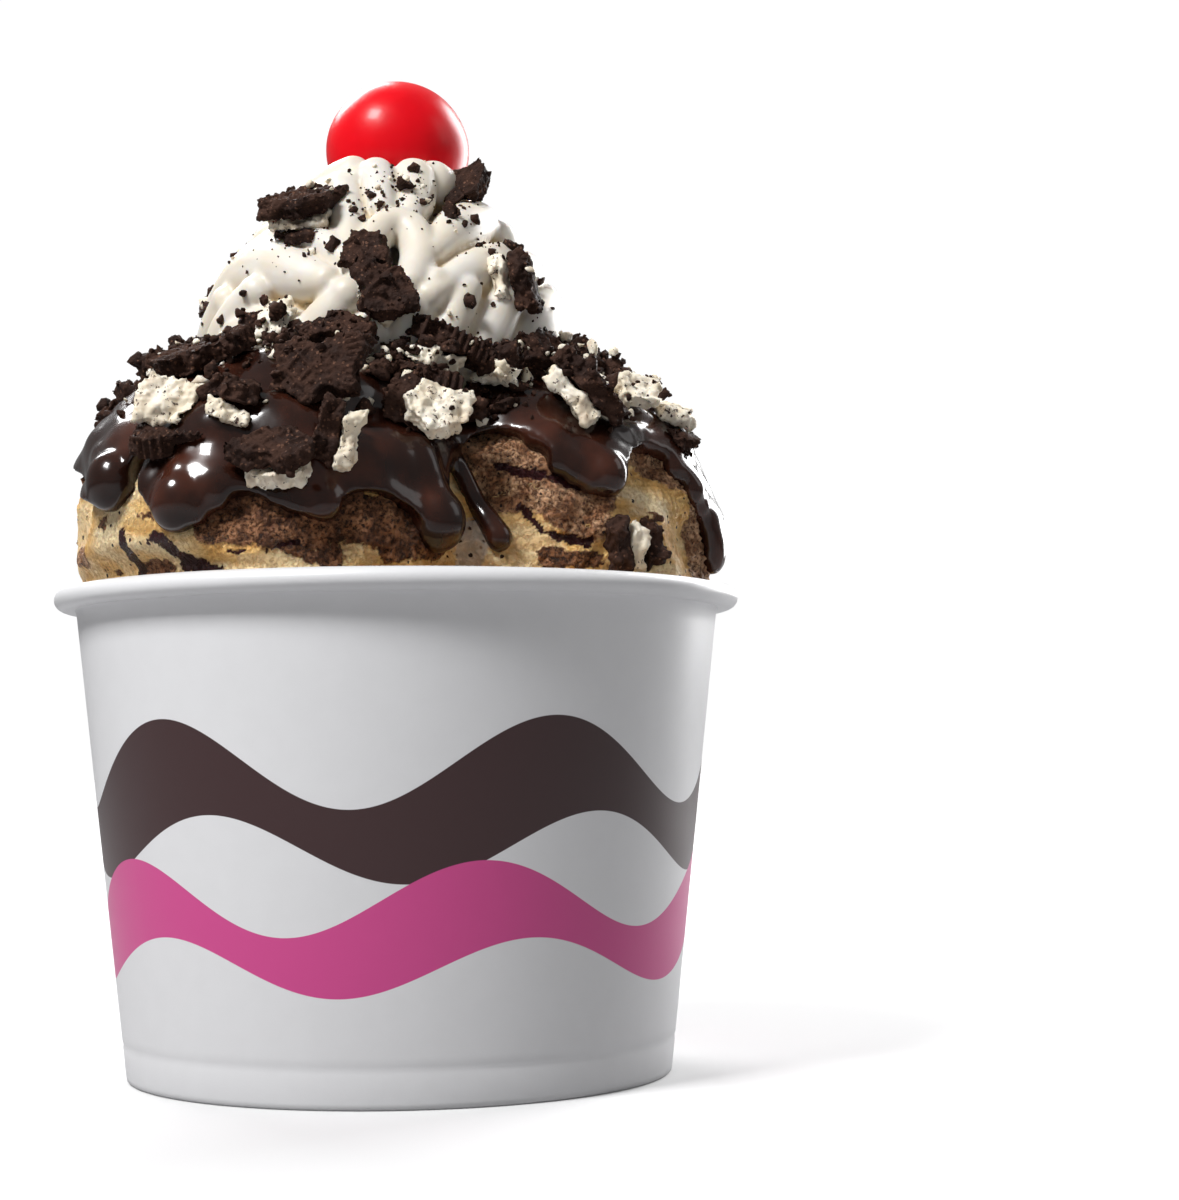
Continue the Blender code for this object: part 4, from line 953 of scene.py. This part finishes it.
def creamFinish():
    material, tree, shader = newMaterial("whippedCream")
    coords = objectCoords(tree)
    tone = ramped(tree, noiseAt(tree, coords, 120.0, 3.0), 0.35, 0.7)
    colour = mixColour(tree, tone, cream["warm"], cream["white"])
    # painted shade in the creases: a darker, warmer colour by the crease mask
    deep = addNode(tree, "ShaderNodeAttribute", attribute_name="creaseShade").outputs["Fac"]
    tree.links.new(mixColour(tree, deep, colour, cream["creaseShade"]), shader.inputs["Base Color"])
    shader.inputs["Roughness"].default_value = 0.42
    shader.inputs["Specular IOR Level"].default_value = 0.4
    shader.inputs["Subsurface Weight"].default_value = 0.35
    shader.inputs["Subsurface Radius"].default_value = (1.0, 0.62, 0.30)
    shader.inputs["Subsurface Scale"].default_value = 0.0018
    bumped(tree, shader, noiseAt(tree, coords, 900.0, 3.0), 0.08, 0.0003)
    return material


# Cherry

cherry = {
    "centre": Vector((0.0, 5.5, 157.0)) * mm,
    "radius": 12.3 * mm,
    "squash": 0.97,
    "red": (0.74, 0.001, 0.008),
    "deep": (0.60, 0.0, 0.006),
}


def makeCherry():
    bpy.ops.mesh.primitive_uv_sphere_add(segments=96, ring_count=64, radius=cherry["radius"])
    piece = bpy.context.object
    piece.name = piece.data.name = "cherry"
    places, _ = readVerts(piece)
    for place in places:
        out = Vector(place).normalized()
        dimple = math.exp(-(((out - Vector((0, 0.35, 0.94))).length / 0.3) ** 2))
        dent = math.exp(-(((out - Vector((0.72, -0.45, 0.42))).length / 0.34) ** 2))
        bulge = 0.02 * noise.noise(Vector(place) / (9 * mm) + Vector((5, 2, 1)))
        place *= 1 + bulge - 0.09 * dimple - 0.018 * dent
        place[2] *= cherry["squash"]
    writeVerts(piece, places)
    piece.location = cherry["centre"]
    settle(piece)
    return piece


def cherryFinish():
    material, tree, shader = newMaterial("candiedCherry")
    coords = objectCoords(tree)
    tone = ramped(tree, noiseAt(tree, coords, 85.0, 3.0), 0.35, 0.7)
    tree.links.new(mixColour(tree, tone, cherry["red"], cherry["deep"]), shader.inputs["Base Color"])
    shader.inputs["Roughness"].default_value = 0.34
    shader.inputs["Specular IOR Level"].default_value = 0.20
    shader.inputs["Coat Weight"].default_value = 0.12
    shader.inputs["Coat Roughness"].default_value = 0.16
    shader.inputs["Subsurface Weight"].default_value = 0.35
    shader.inputs["Subsurface Radius"].default_value = (1.0, 0.12, 0.08)
    shader.inputs["Subsurface Scale"].default_value = 0.003
    bumped(tree, shader, noiseAt(tree, coords, 420.0, 2.0), 0.07, 0.0006)
    return material


# Broken chocolate sandwich cookies: two wafers with creme between them

cookie = {
    "radius": 22.5 * mm,
    "voxel": 0.29 * mm,
    "lozenge": 4.4 * mm,
    "latticeReach": 16.0 * mm,
    "ring": 17.4 * mm,
    "spokesFrom": 18.6 * mm,
    "ribs": 118,
    "emboss": 0.46 * mm,
    "ribDepth": 0.36 * mm,
    # how deep a broken face crumbles, and how broad the bites are
    "bites": ((0.95 * mm, 4.2 * mm), (0.55 * mm, 1.6 * mm)),
    "crumbs": (0.62 * mm, 1.15 * mm),
}

# Each chunk: the middle of its stack in millimetres, the azimuth that its face leans towards and
# how far from facing up, the azimuth of its rim or None, half its depth from rim to break, and
# its layers from the underside up
chunks = {
    "sunk_right": ((36.0, -29.0, 85.0), (35, 82), None, 5.5, "ucw"),
    "slab_right": ((28.9, -29.5, 109.7), (-8, 48), None, 7.5, "cw"),
    "shoulder_right": ((46.2, -15.5, 105.4), (-35, 30), -20, 4.8, "wc"),
    "cookie_front": ((-11.5, -42.0, 110.1), (-112, 78), -22, 9.0, "cw"),
    "shelf_left": ((-32.7, -41.1, 101.0), (-100, 26), -95, 6.6, "w"),
    "flake_left": ((-34.1, -41.5, 105.9), (-95, 74), None, 5.3, "c"),
    "chunk_left": ((-24.8, -43.0, 105.3), (10, 20), None, 4.6, "cw"),
    "shard_left": ((-30.6, -31.0, 115.2), (-140, 30), -20, 9.0, "w"),
    "wedge_front": ((-9.1, -49.0, 100.3), (5, 105), None, 5.5, "wc"),
    "chunk_front": ((-18.1, -50.0, 96.3), (-100, 38), None, 4.8, "cw"),
    "sliver_front": ((-8.5, -32.5, 118.5), (-95, 40), None, 4.0, "w"),
    "lump_front": ((3.0, -39.0, 105.9), (-70, 62), 160, 6.4, "wc"),
    "lens_front": ((5.3, -33.5, 112.4), (10, 15), -85, 3.7, "wc"),
    "bar_front": ((7.8, -30.0, 117.3), (15, 24), -80, 4.2, "w"),
    "patch_right": ((15.5, -27.5, 113.5), (60, 22), None, 3.7, "cw"),
    "chip_right": ((23.0, -21.5, 117.0), (-60, 62), -150, 4.6, "w"),
    "flake_right": ((38.0, -20.5, 111.5), (-60, 52), None, 4.0, "c"),
    "crumble_left": ((-19.4, -26.4, 121.2), (-110, 60), None, 4.2, "c"),
    "cube_left": ((-15.3, -18.4, 139.4), (-110, 28), None, 5.9, "utw"),
    "shield_front": ((-2.2, -31.0, 124.5), (-85, 74), None, 6.2, "cw"),
    "crumble_front": ((-5.2, -27.6, 131.6), (-100, 58), None, 4.8, "w"),
    "cube_top": ((11.0, -7.0, 147.0), (-122, 62), None, 5.1, "tw"),
    "block_right": ((18.7, -21.3, 128.7), (-14, 80), None, 6.8, "cw"),
    "fin_left": ((-30.8, 4.0, 129.6), (-160, 78), -80, 4.4, "w"),
    "back_right": ((42.0, 14.0, 110.5), (20, 42), 60, 5.9, "wc"),
    "back_valley": ((22.5, 22.0, 114.0), (50, 24), None, 5.9, "w"),
    "back_slab": ((13.0, 40.0, 110.0), (80, 48), 100, 7.0, "cw"),
    "back_shard": ((-8.0, 39.0, 114.0), (110, 24), 150, 7.9, "w"),
    "back_chunk": ((-26.5, 33.0, 109.5), (125, 50), None, 5.7, "wc"),
    "back_chip": ((-35.5, 13.0, 108.5), (160, 36), 190, 5.5, "w"),
    "back_shelf": ((-45.5, -5.0, 110.5), (185, 42), 180, 6.2, "w"),
    "cream_back": ((9.8, 24.8, 133.5), (80, 66), None, 5.5, "w"),
    "cream_side": ((-18.4, 19.8, 136.5), (140, 50), None, 4.8, "w"),
}
layerKinds = {"w": "wafer", "c": "creme", "t": "creme", "u": "wafer_under"}


def chunkFrame(place, lean, rim):
    # local z is the way the wafers face, and local x the way from break to rim
    towards, angle = (math.radians(value) for value in lean)
    spin = math.radians(rim) if rim is not None else towards
    turn = Matrix.Rotation(towards, 4, "Z") @ Matrix.Rotation(angle, 4, "Y")
    return Matrix.Translation(Vector(place) * mm) @ turn @ Matrix.Rotation(spin - towards, 4, "Z")


def embossAt(x, y):
    # a plain lattice of lozenges, a ring and short spokes, pressed into the wafer's face
    reach = math.hypot(x, y)
    if reach < cookie["latticeReach"]:
        u, v = (x + y) / cookie["lozenge"], (x - y) / cookie["lozenge"]
        line = min(abs(math.sin(math.pi * u)), abs(math.sin(math.pi * v)))
        dot = max(0.0, abs(math.sin(math.pi * u) * math.sin(math.pi * v)) - 0.80) * 5
        return 1 - eased(line, 0.12, 0.42) + dot
    if reach < cookie["spokesFrom"]:
        return 1 - eased(abs(reach - cookie["ring"]), 0.3 * mm, 0.7 * mm)
    return eased(math.cos(math.atan2(y, x) * cookie["ribs"]), -0.5, 0.5)


def crumbled(p, share=1.0):
    # a broken face: bites and crumbs, more of it eaten away than standing out
    (bite, broad), (chip, narrow) = cookie["bites"]
    crumb, size = cookie["crumbs"]
    low = bite * (noise.fractal(p / broad, 0.8, 2.1, 3) - 0.22)
    return share * (low + chip * noise.fractal(p / narrow, 0.8, 2.2, 4) + crumb * pebbles(p, size))


def waferRelief(frameOf, middle, outward):
    back = frameOf.inverted()
    turn = back.to_3x3()
    seed = Vector((middle.x * 90, frameOf.translation.x * 130, frameOf.translation.z * 70))

    def rule(p, n):
        local, facing = back @ p, turn @ n
        x, y = local.x - middle.x, local.y - middle.y
        shifted = p + seed * mm
        flat = eased(abs(facing.z), 0.60, 0.90)
        grain = 0.06 * mm * noise.noise(shifted / (0.5 * mm))
        outOf = abs(math.hypot(x, y) - cookie["radius"])
        if outOf < 0.9 * mm:
            broken = cookie["ribDepth"] * math.cos(math.atan2(y, x) * cookie["ribs"])
            broken += 0.08 * mm * noise.fractal(shifted / (1.2 * mm), 0.9, 2.0, 3)
        else:
            broken = crumbled(shifted)
        # the face is worn in places down to the crumb
        worn = eased(noise.noise(shifted / (5.5 * mm)), -0.30, 0.05)
        face = 0.10 * mm * noise.fractal(shifted / (1.5 * mm), 0.8, 2.2, 4)
        if facing.z * outward > 0:
            face += cookie["emboss"] * (embossAt(x, y) - 0.5) * worn
        face += crumbled(shifted, 0.55 if facing.z * outward > 0 else 0.75) * (1 - worn)
        return grain + broken * (1 - flat) + face * flat

    return rule


def cremeRelief(frameOf):
    seed = Vector((frameOf.translation.z * 50, frameOf.translation.x * 90, 3))

    def rule(p, n):
        shifted = p + seed * mm
        bites = 0.75 * mm * (noise.fractal(shifted / (3.6 * mm), 0.8, 2.1, 3) - 0.10)
        lumps = 0.40 * mm * noise.fractal(shifted / (1.7 * mm), 0.8, 2.2, 4)
        return bites + lumps + 0.30 * mm * pebbles(shifted, 1.0 * mm) + 0.05 * mm * noise.noise(shifted / (0.45 * mm))

    return rule


def makeCookies(waferCoat, cremeCoat):
    made = []
    for key, (place, lean, rim, halfDepth, layers) in chunks.items():
        frameOf = chunkFrame(place, lean, rim)
        rng = random.Random(key)
        middle = Vector((halfDepth * mm - cookie["radius"], 0, 0))
        if rim is None:
            middle = Vector((rng.uniform(-11, -4), rng.uniform(-6, 6), 0)) * mm
        for layer in layers:
            node = f"{key}_{layerKinds[layer]}"
            words = node.split("_")
            piece = nodeCopy(node, words[0] + "".join(word.title() for word in words[1:]))
            remeshed(piece, cookie["voxel"], 3)
            if layer in "ct":
                pushOut(piece, cremeRelief(frameOf))
                dress(piece, cremeCoat, [node], 180)
            else:
                under = layer == "u" or layers == "wc"
                pushOut(piece, waferRelief(frameOf, middle, -1 if under else 1))
                dress(piece, waferCoat, [node], 180)
            made.append(piece)
    return made


def waferFinish():
    material, tree, shader = newMaterial("chocolateWafer")
    coords = objectCoords(tree)
    grain = useGroup(tree, crumbly, {"Vector": coords, "Grain": 1500.0})
    colour = mixColour(tree, grain.outputs["Mottle"], (0.026, 0.0120, 0.0084), (0.056, 0.0275, 0.0190))
    # lighter reddish specks that stand in for glints of the wafer's sheen: painted highlights
    fleck = useGroup(tree, speckles, {"Vector": coords, "Spread": 1500.0, "Size": 0.42})
    colour = mixColour(tree, maths(tree, "MULTIPLY", fleck.outputs["Mask"], 0.6), colour, (0.20, 0.100, 0.064))
    # painted shade in the pits of the grain
    colour = mixColour(tree, maths(tree, "MULTIPLY", grain.outputs["Pits"], 0.7), colour, (0.011, 0.0045, 0.0033))
    tree.links.new(colour, shader.inputs["Base Color"])
    tree.links.new(ramped(tree, grain.outputs["Mottle"], 0.0, 1.0, 0.58, 0.80), shader.inputs["Roughness"])
    shader.inputs["Specular IOR Level"].default_value = 0.12
    bumped(tree, shader, grain.outputs["Height"], 0.9, 0.0005)
    return material


def cremeFinish():
    material, tree, shader = newMaterial("vanillaCreme")
    coords = objectCoords(tree)
    grain = useGroup(tree, crumbly, {"Vector": coords, "Grain": 1100.0})
    colour = mixColour(tree, grain.outputs["Mottle"], (0.80, 0.70, 0.54), (0.92, 0.85, 0.72))
    near = maths(tree, "MULTIPLY", noiseAt(tree, coords, 230.0, 2.0), 0.30)
    stuck = ramped(tree, maths(tree, "ADD", noiseAt(tree, coords, 1150.0, 4.0, 0.65), near), 0.765, 0.795)
    colour = mixColour(tree, stuck, colour, (0.060, 0.030, 0.020))
    smear = ramped(tree, noiseAt(tree, coords, 300.0, 3.0), 0.52, 0.72, 0.0, 0.65)
    colour = mixColour(tree, smear, colour, (0.40, 0.29, 0.20))
    tree.links.new(colour, shader.inputs["Base Color"])
    shader.inputs["Roughness"].default_value = 0.55
    shader.inputs["Subsurface Weight"].default_value = 0.2
    shader.inputs["Subsurface Radius"].default_value = (1.0, 0.8, 0.55)
    shader.inputs["Subsurface Scale"].default_value = 0.001
    bumped(tree, shader, grain.outputs["Height"], 0.6, 0.0003)
    return material


# Crumbs: those as large as peas where the solids have them, then rubble, bits of creme and dust

crumbs = {
    "seed": 11,
    "fused": (("fudge", 28, (104.0, 118.0), (1.4, 2.8)), ("cream", 12, (127.0, 149.0), (1.0, 1.8))),
    "spread": math.pi * (3 - math.sqrt(5)),
    "rubble": 104,
    "grit": 430,
    "smallGrit": 800,
    "bits": 260,
    "dust": 1500,
    "creamGrit": 30,
    "creamDust": 330,
}


def crumbShapes(subdivisions, rough, seed, count):
    # a few broken lumps of about one metre across, whose copies make up a scatter
    shapes = []
    for k in range(count):
        rng = random.Random(seed + k)
        bpy.ops.mesh.primitive_ico_sphere_add(subdivisions=subdivisions, radius=1)
        lump = bpy.context.object
        places, _ = readVerts(lump)
        # breaks: what lies beyond a few planes is pressed flat onto them
        for _ in range(rng.randint(5, 8)):
            way = np.array(Vector((rng.gauss(0, 1), rng.gauss(0, 1), rng.gauss(0, 1))).normalized())
            beyond = places @ way - rng.uniform(0.42, 0.80)
            places -= np.maximum(beyond, 0)[:, None] * way
        writeVerts(lump, places)
        shift = Vector((seed, k * 3.7, k * 1.3))
        pushOut(
            lump,
            lambda p, n: rough * (0.9 * noise.fractal(p * 1.6 + shift, 0.7, 2.3, 4) + 0.8 * pebbles(p + shift, 0.42)),
        )
        places, _ = readVerts(lump)
        places *= np.array([rng.uniform(0.85, 1.35), rng.uniform(0.7, 1.05), rng.uniform(0.55, 0.95)])
        faces = np.array([face.vertices[:] for face in lump.data.polygons])
        shapes.append((places, faces))
        removePiece(lump)
    return shapes


def scattered(name, shapes, spots, rng):
    # one mesh of turned copies, each at its place and size
    points, faces, count = [], [], 0
    for place, size in spots:
        corners, sides = rng.choice(shapes)
        axis = Vector((rng.gauss(0, 1), rng.gauss(0, 1), rng.gauss(0, 1))).normalized()
        turn = np.array(Matrix.Rotation(rng.uniform(0, math.tau), 3, axis))
        points.append(corners @ turn.T * size + np.array(place))
        faces.append(sides + count)
        count += len(corners)
    mesh = bpy.data.meshes.new(name)
    mesh.from_pydata(np.concatenate(points).tolist(), [], np.concatenate(faces).tolist())
    piece = bpy.data.objects.new(name, mesh)
    bpy.context.scene.collection.objects.link(piece)
    return piece


def landing(trees, start, direction):
    best = None
    for index, tree in enumerate(trees):
        hit, normal, _, distance = tree.ray_cast(start, direction)
        if hit and (best is None or distance < best[2]):
            best = (hit, normal, distance, index)
    return best


def fusedSpots(trees):
    # the same rule as the solids', so that each crumb covers its lump
    rng = random.Random(crumbs["seed"])
    spots = []
    for surface, count, (lowest, highest), (smallest, largest) in crumbs["fused"]:
        for k in range(count):
            angle = k * crumbs["spread"]
            across = Vector((math.cos(angle), math.sin(angle), 0))
            height = rng.uniform(lowest, highest) * mm
            size = rng.uniform(smallest, largest) * mm
            for _ in range(12):
                rng.uniform(0.75, 1.2)
            start = across * cup["rimRadius"] * 1.2 + Vector((0, 0, height))
            hit, normal, _, _ = trees[surface].ray_cast(start, -across)
            if hit:
                spots.append((hit + normal * size * 0.35, size * 1.15))
    return spots


def rained(trees, count, rng, zone, sizes, sink, onCookies=1.0):
    # crumbs that fall inwards and down, and lie where they first meet something
    spots = []
    tries = 0
    while len(spots) < count and tries < count * 12:
        tries += 1
        azimuth, height, size = zone(rng), None, sizes[0] * (sizes[1] / sizes[0]) ** (rng.random() ** 1.6)
        degrees, height = azimuth
        angle, slope = math.radians(degrees), math.radians(rng.uniform(8, 62))
        across = Vector((math.cos(angle), math.sin(angle), 0))
        target = across * 22 * mm + Vector((0, 0, height * mm))
        way = -(across * math.cos(slope) + Vector((0, 0, math.sin(slope))))
        sideways = Vector((-across.y, across.x, 0)) * rng.uniform(-0.35, 0.35)
        way = (way + sideways).normalized()
        found = landing(trees, target - way * 90 * mm, way)
        if found is None or found[1].z < -0.35 or found[0].z < 97 * mm or found[3] == cherryIndex:
            continue
        if zone is heapZone and found[0].z > 118 * mm and rng.random() < (0.97 if found[3] == creamIndex else 0.7):
            continue
        if cherryIndex < found[3] < cherryIndex + cookieCount and rng.random() > onCookies:
            continue
        spots.append((found[0] + found[1] * size * mm * sink, size * mm))
    return spots


def heapZone(rng):
    return rng.uniform(-180, 180), rng.triangular(97, 121, 115)


# where crumbs gather on the cream: azimuth, height and spread, most of them high on the front
creamClumps = ((-98, 150, 16), (-85, 146, 14), (-104, 143, 12), (-128, 130, 12), (-60, 139, 14), (-50, 131, 12),
               (-75, 152, 20), (60, 140, 22), (150, 134, 24))


def creamZone(rng):
    if rng.random() < 0.85:
        degrees, height, spread = rng.choice(creamClumps)
        return rng.gauss(degrees, spread), rng.gauss(height, 3.5)
    return rng.uniform(-180, 180), rng.triangular(120, 156, 148)


# Floor, light and camera

studio = {
    "floorSeen": (0.60, 0.60, 0.603),
    "floorBounce": (0.30, 0.30, 0.305),
    "floorGlow": 0.15,
    "farGlow": 1.0,
    "farFrom": 0.30,
    "farTo": 1.1,
    "seenWhite": 1.02,
    "skyLight": 0.21,
    # each light: azimuth and height it shines from in degrees, distance, width, height, power
    "lights": {
        "keyLight": (-135, 48, 0.95, 0.26, 0.26, 10.8),
        "fillLight": (-8, 30, 0.90, 0.35, 0.50, 0.6),
        "rightLight": (38, 18, 0.80, 0.15, 0.60, 2.5),
        "edgeLight": (52, 22, 0.80, 0.22, 0.60, 4.6),
        "backLight": (112, 41, 1.00, 0.50, 0.35, 6.6),
    },
    "aim": Vector((0, 0, 0.095)),
    "cameraPlace": Vector((0.0, -397.28, 52.10)) * mm,
    "cameraTurn": (0.0808, 0.0662, -0.0097),
    "lens": 70.46,
}


def makeStudio():
    bpy.ops.mesh.primitive_plane_add(size=12, location=(0, 0, -0.05 * mm))
    floor = bpy.context.object
    floor.name = floor.data.name = "floor"
    settle(floor)
    material, tree, shader = newMaterial("paleFloor")
    coords = objectCoords(tree)
    path = tree.nodes.new("ShaderNodeLightPath")
    shade = ramped(tree, noiseAt(tree, coords, 3.0, 2.0), 0.3, 0.7)
    seenFloor = mixColour(tree, shade, tuple(c * 0.99 for c in studio["floorSeen"]), studio["floorSeen"])
    # what the floor throws back at the sundae is less than what the camera sees of it
    colour = mixColour(tree, path.outputs["Is Camera Ray"], studio["floorBounce"], seenFloor)
    tree.links.new(colour, shader.inputs["Base Color"])
    shader.inputs["Roughness"].default_value = 0.9
    # the floor turns white with distance, and its glow is seen without lighting the sundae
    away = addNode(tree, "ShaderNodeVectorMath", {0: coords}, operation="LENGTH").outputs["Value"]
    glow = ramped(tree, away, studio["farFrom"], studio["farTo"], studio["floorGlow"], studio["farGlow"])
    seen = maths(tree, "MULTIPLY", glow, path.outputs["Is Camera Ray"])
    tree.links.new(mixColour(tree, seen, (0.0, 0.0, 0.0), (1.0, 1.0, 1.0)), shader.inputs["Emission Color"])
    shader.inputs["Emission Strength"].default_value = 1.0
    floor.data.materials.append(material)

    world = bpy.data.worlds.new("paleStudio")
    world.use_nodes = True
    bpy.context.scene.world = world
    tree = world.node_tree
    background = tree.nodes["Background"]
    path = tree.nodes.new("ShaderNodeLightPath")
    strength = maths(tree, "MULTIPLY", path.outputs["Is Camera Ray"], studio["seenWhite"] - studio["skyLight"])
    tree.links.new(maths(tree, "ADD", strength, studio["skyLight"]), background.inputs["Strength"])
    background.inputs["Color"].default_value = (1, 1, 1, 1)

    for name, (degrees, up, distance, width, height, power) in studio["lights"].items():
        data = bpy.data.lights.new(name, "AREA")
        data.shape = "RECTANGLE"
        data.size, data.size_y = width, height
        data.energy = power
        light = bpy.data.objects.new(name, data)
        bpy.context.scene.collection.objects.link(light)
        angle, rise = math.radians(degrees), math.radians(up)
        way = Vector((math.cos(angle) * math.cos(rise), math.sin(angle) * math.cos(rise), math.sin(rise)))
        light.location = studio["aim"] + way * distance
        light.rotation_euler = (-way).to_track_quat("-Z", "Y").to_euler()

    yaw, pitch, roll = studio["cameraTurn"]
    camera = bpy.data.objects.new("camera", bpy.data.cameras.new("camera"))
    bpy.context.scene.collection.objects.link(camera)
    camera.data.lens = studio["lens"]
    camera.data.sensor_width = 36.0
    camera.data.clip_start = 0.01
    camera.matrix_world = (
        Matrix.Translation(studio["cameraPlace"])
        @ Matrix.Rotation(-yaw, 4, "Z")
        @ Matrix.Rotation(math.pi / 2 + pitch, 4, "X")
        @ Matrix.Rotation(roll, 4, "Z")
    )
    bpy.context.scene.camera = camera
    bpy.context.scene.view_settings.view_transform = "Standard"
    bpy.context.scene.view_settings.look = "None"


print("studio")
makeStudio()

print("paper cup")
dress(makeCup(), paperFinish(), ["cup"], 50)

print("ice cream")
mass = makeMass()
iceCreamPiece = makeIceCream(mass)
dress(iceCreamPiece, iceCreamFinish(), ["scoop_left", "scoop_right", "scoop_back"], 180)

print("hot fudge")
fudgePiece = makeFudge(mass)
dress(fudgePiece, fudgeFinish(), ["hot_fudge"], 180)
removePiece(mass)

print("whipped cream")
creamPiece = makeCream()
dress(creamPiece, creamFinish(), ["whipped_cream"], 180)

print("cherry")
cherryPiece = makeCherry()
dress(cherryPiece, cherryFinish(), ["cherry"], 180)

print("cookies")
waferCoat, cremeCoat = waferFinish(), cremeFinish()
cookiePieces = makeCookies(waferCoat, cremeCoat)

print("crumbs")
rng = random.Random(crumbs["seed"] + 1)
trees = {"fudge": treeOf(fudgePiece), "cream": treeOf(creamPiece), "ice": treeOf(iceCreamPiece)}
everywhere = [*trees.values(), treeOf(cherryPiece), *(treeOf(piece) for piece in cookiePieces)]
creamIndex, cherryIndex, cookieCount = list(trees).index("cream"), len(trees), len(cookiePieces) + 1
coarse, fine, tiny = crumbShapes(3, 0.30, 5, 9), crumbShapes(2, 0.30, 29, 9), crumbShapes(1, 0.22, 54, 12)
spots = fusedSpots(trees)
spots += rained(everywhere, crumbs["rubble"], rng, heapZone, (1.8, 3.3), 0.3, 0.08)
rubble = scattered("cookieRubble", coarse, spots, rng)
dress(rubble, waferCoat, [], 180)
everywhere.append(treeOf(rubble))
spots = rained(everywhere, crumbs["grit"], rng, heapZone, (0.9, 2.0), 0.35, 0.15)
spots += rained(everywhere, crumbs["creamGrit"], rng, creamZone, (0.7, 1.9), 0.3)
grit = scattered("cookieGrit", fine, spots, rng)
dress(grit, waferCoat, [], 180)
everywhere.append(treeOf(grit))
spots = rained(everywhere, crumbs["bits"], rng, heapZone, (0.4, 1.7), 0.4, 0.4)
spots += rained(everywhere, crumbs["bits"] // 8, rng, creamZone, (0.4, 1.0), 0.3)
dress(scattered("cremeBits", fine, spots, rng), cremeCoat, [], 180)
spots = rained(everywhere, crumbs["smallGrit"], rng, heapZone, (0.4, 1.0), 0.3, 0.4)
spots += rained(everywhere, crumbs["dust"], rng, heapZone, (0.15, 0.5), 0.3)
spots += rained(everywhere, crumbs["creamDust"], rng, creamZone, (0.12, 0.62), 0.3)
dress(scattered("cookieDust", tiny, spots, rng), waferCoat, [], 50)
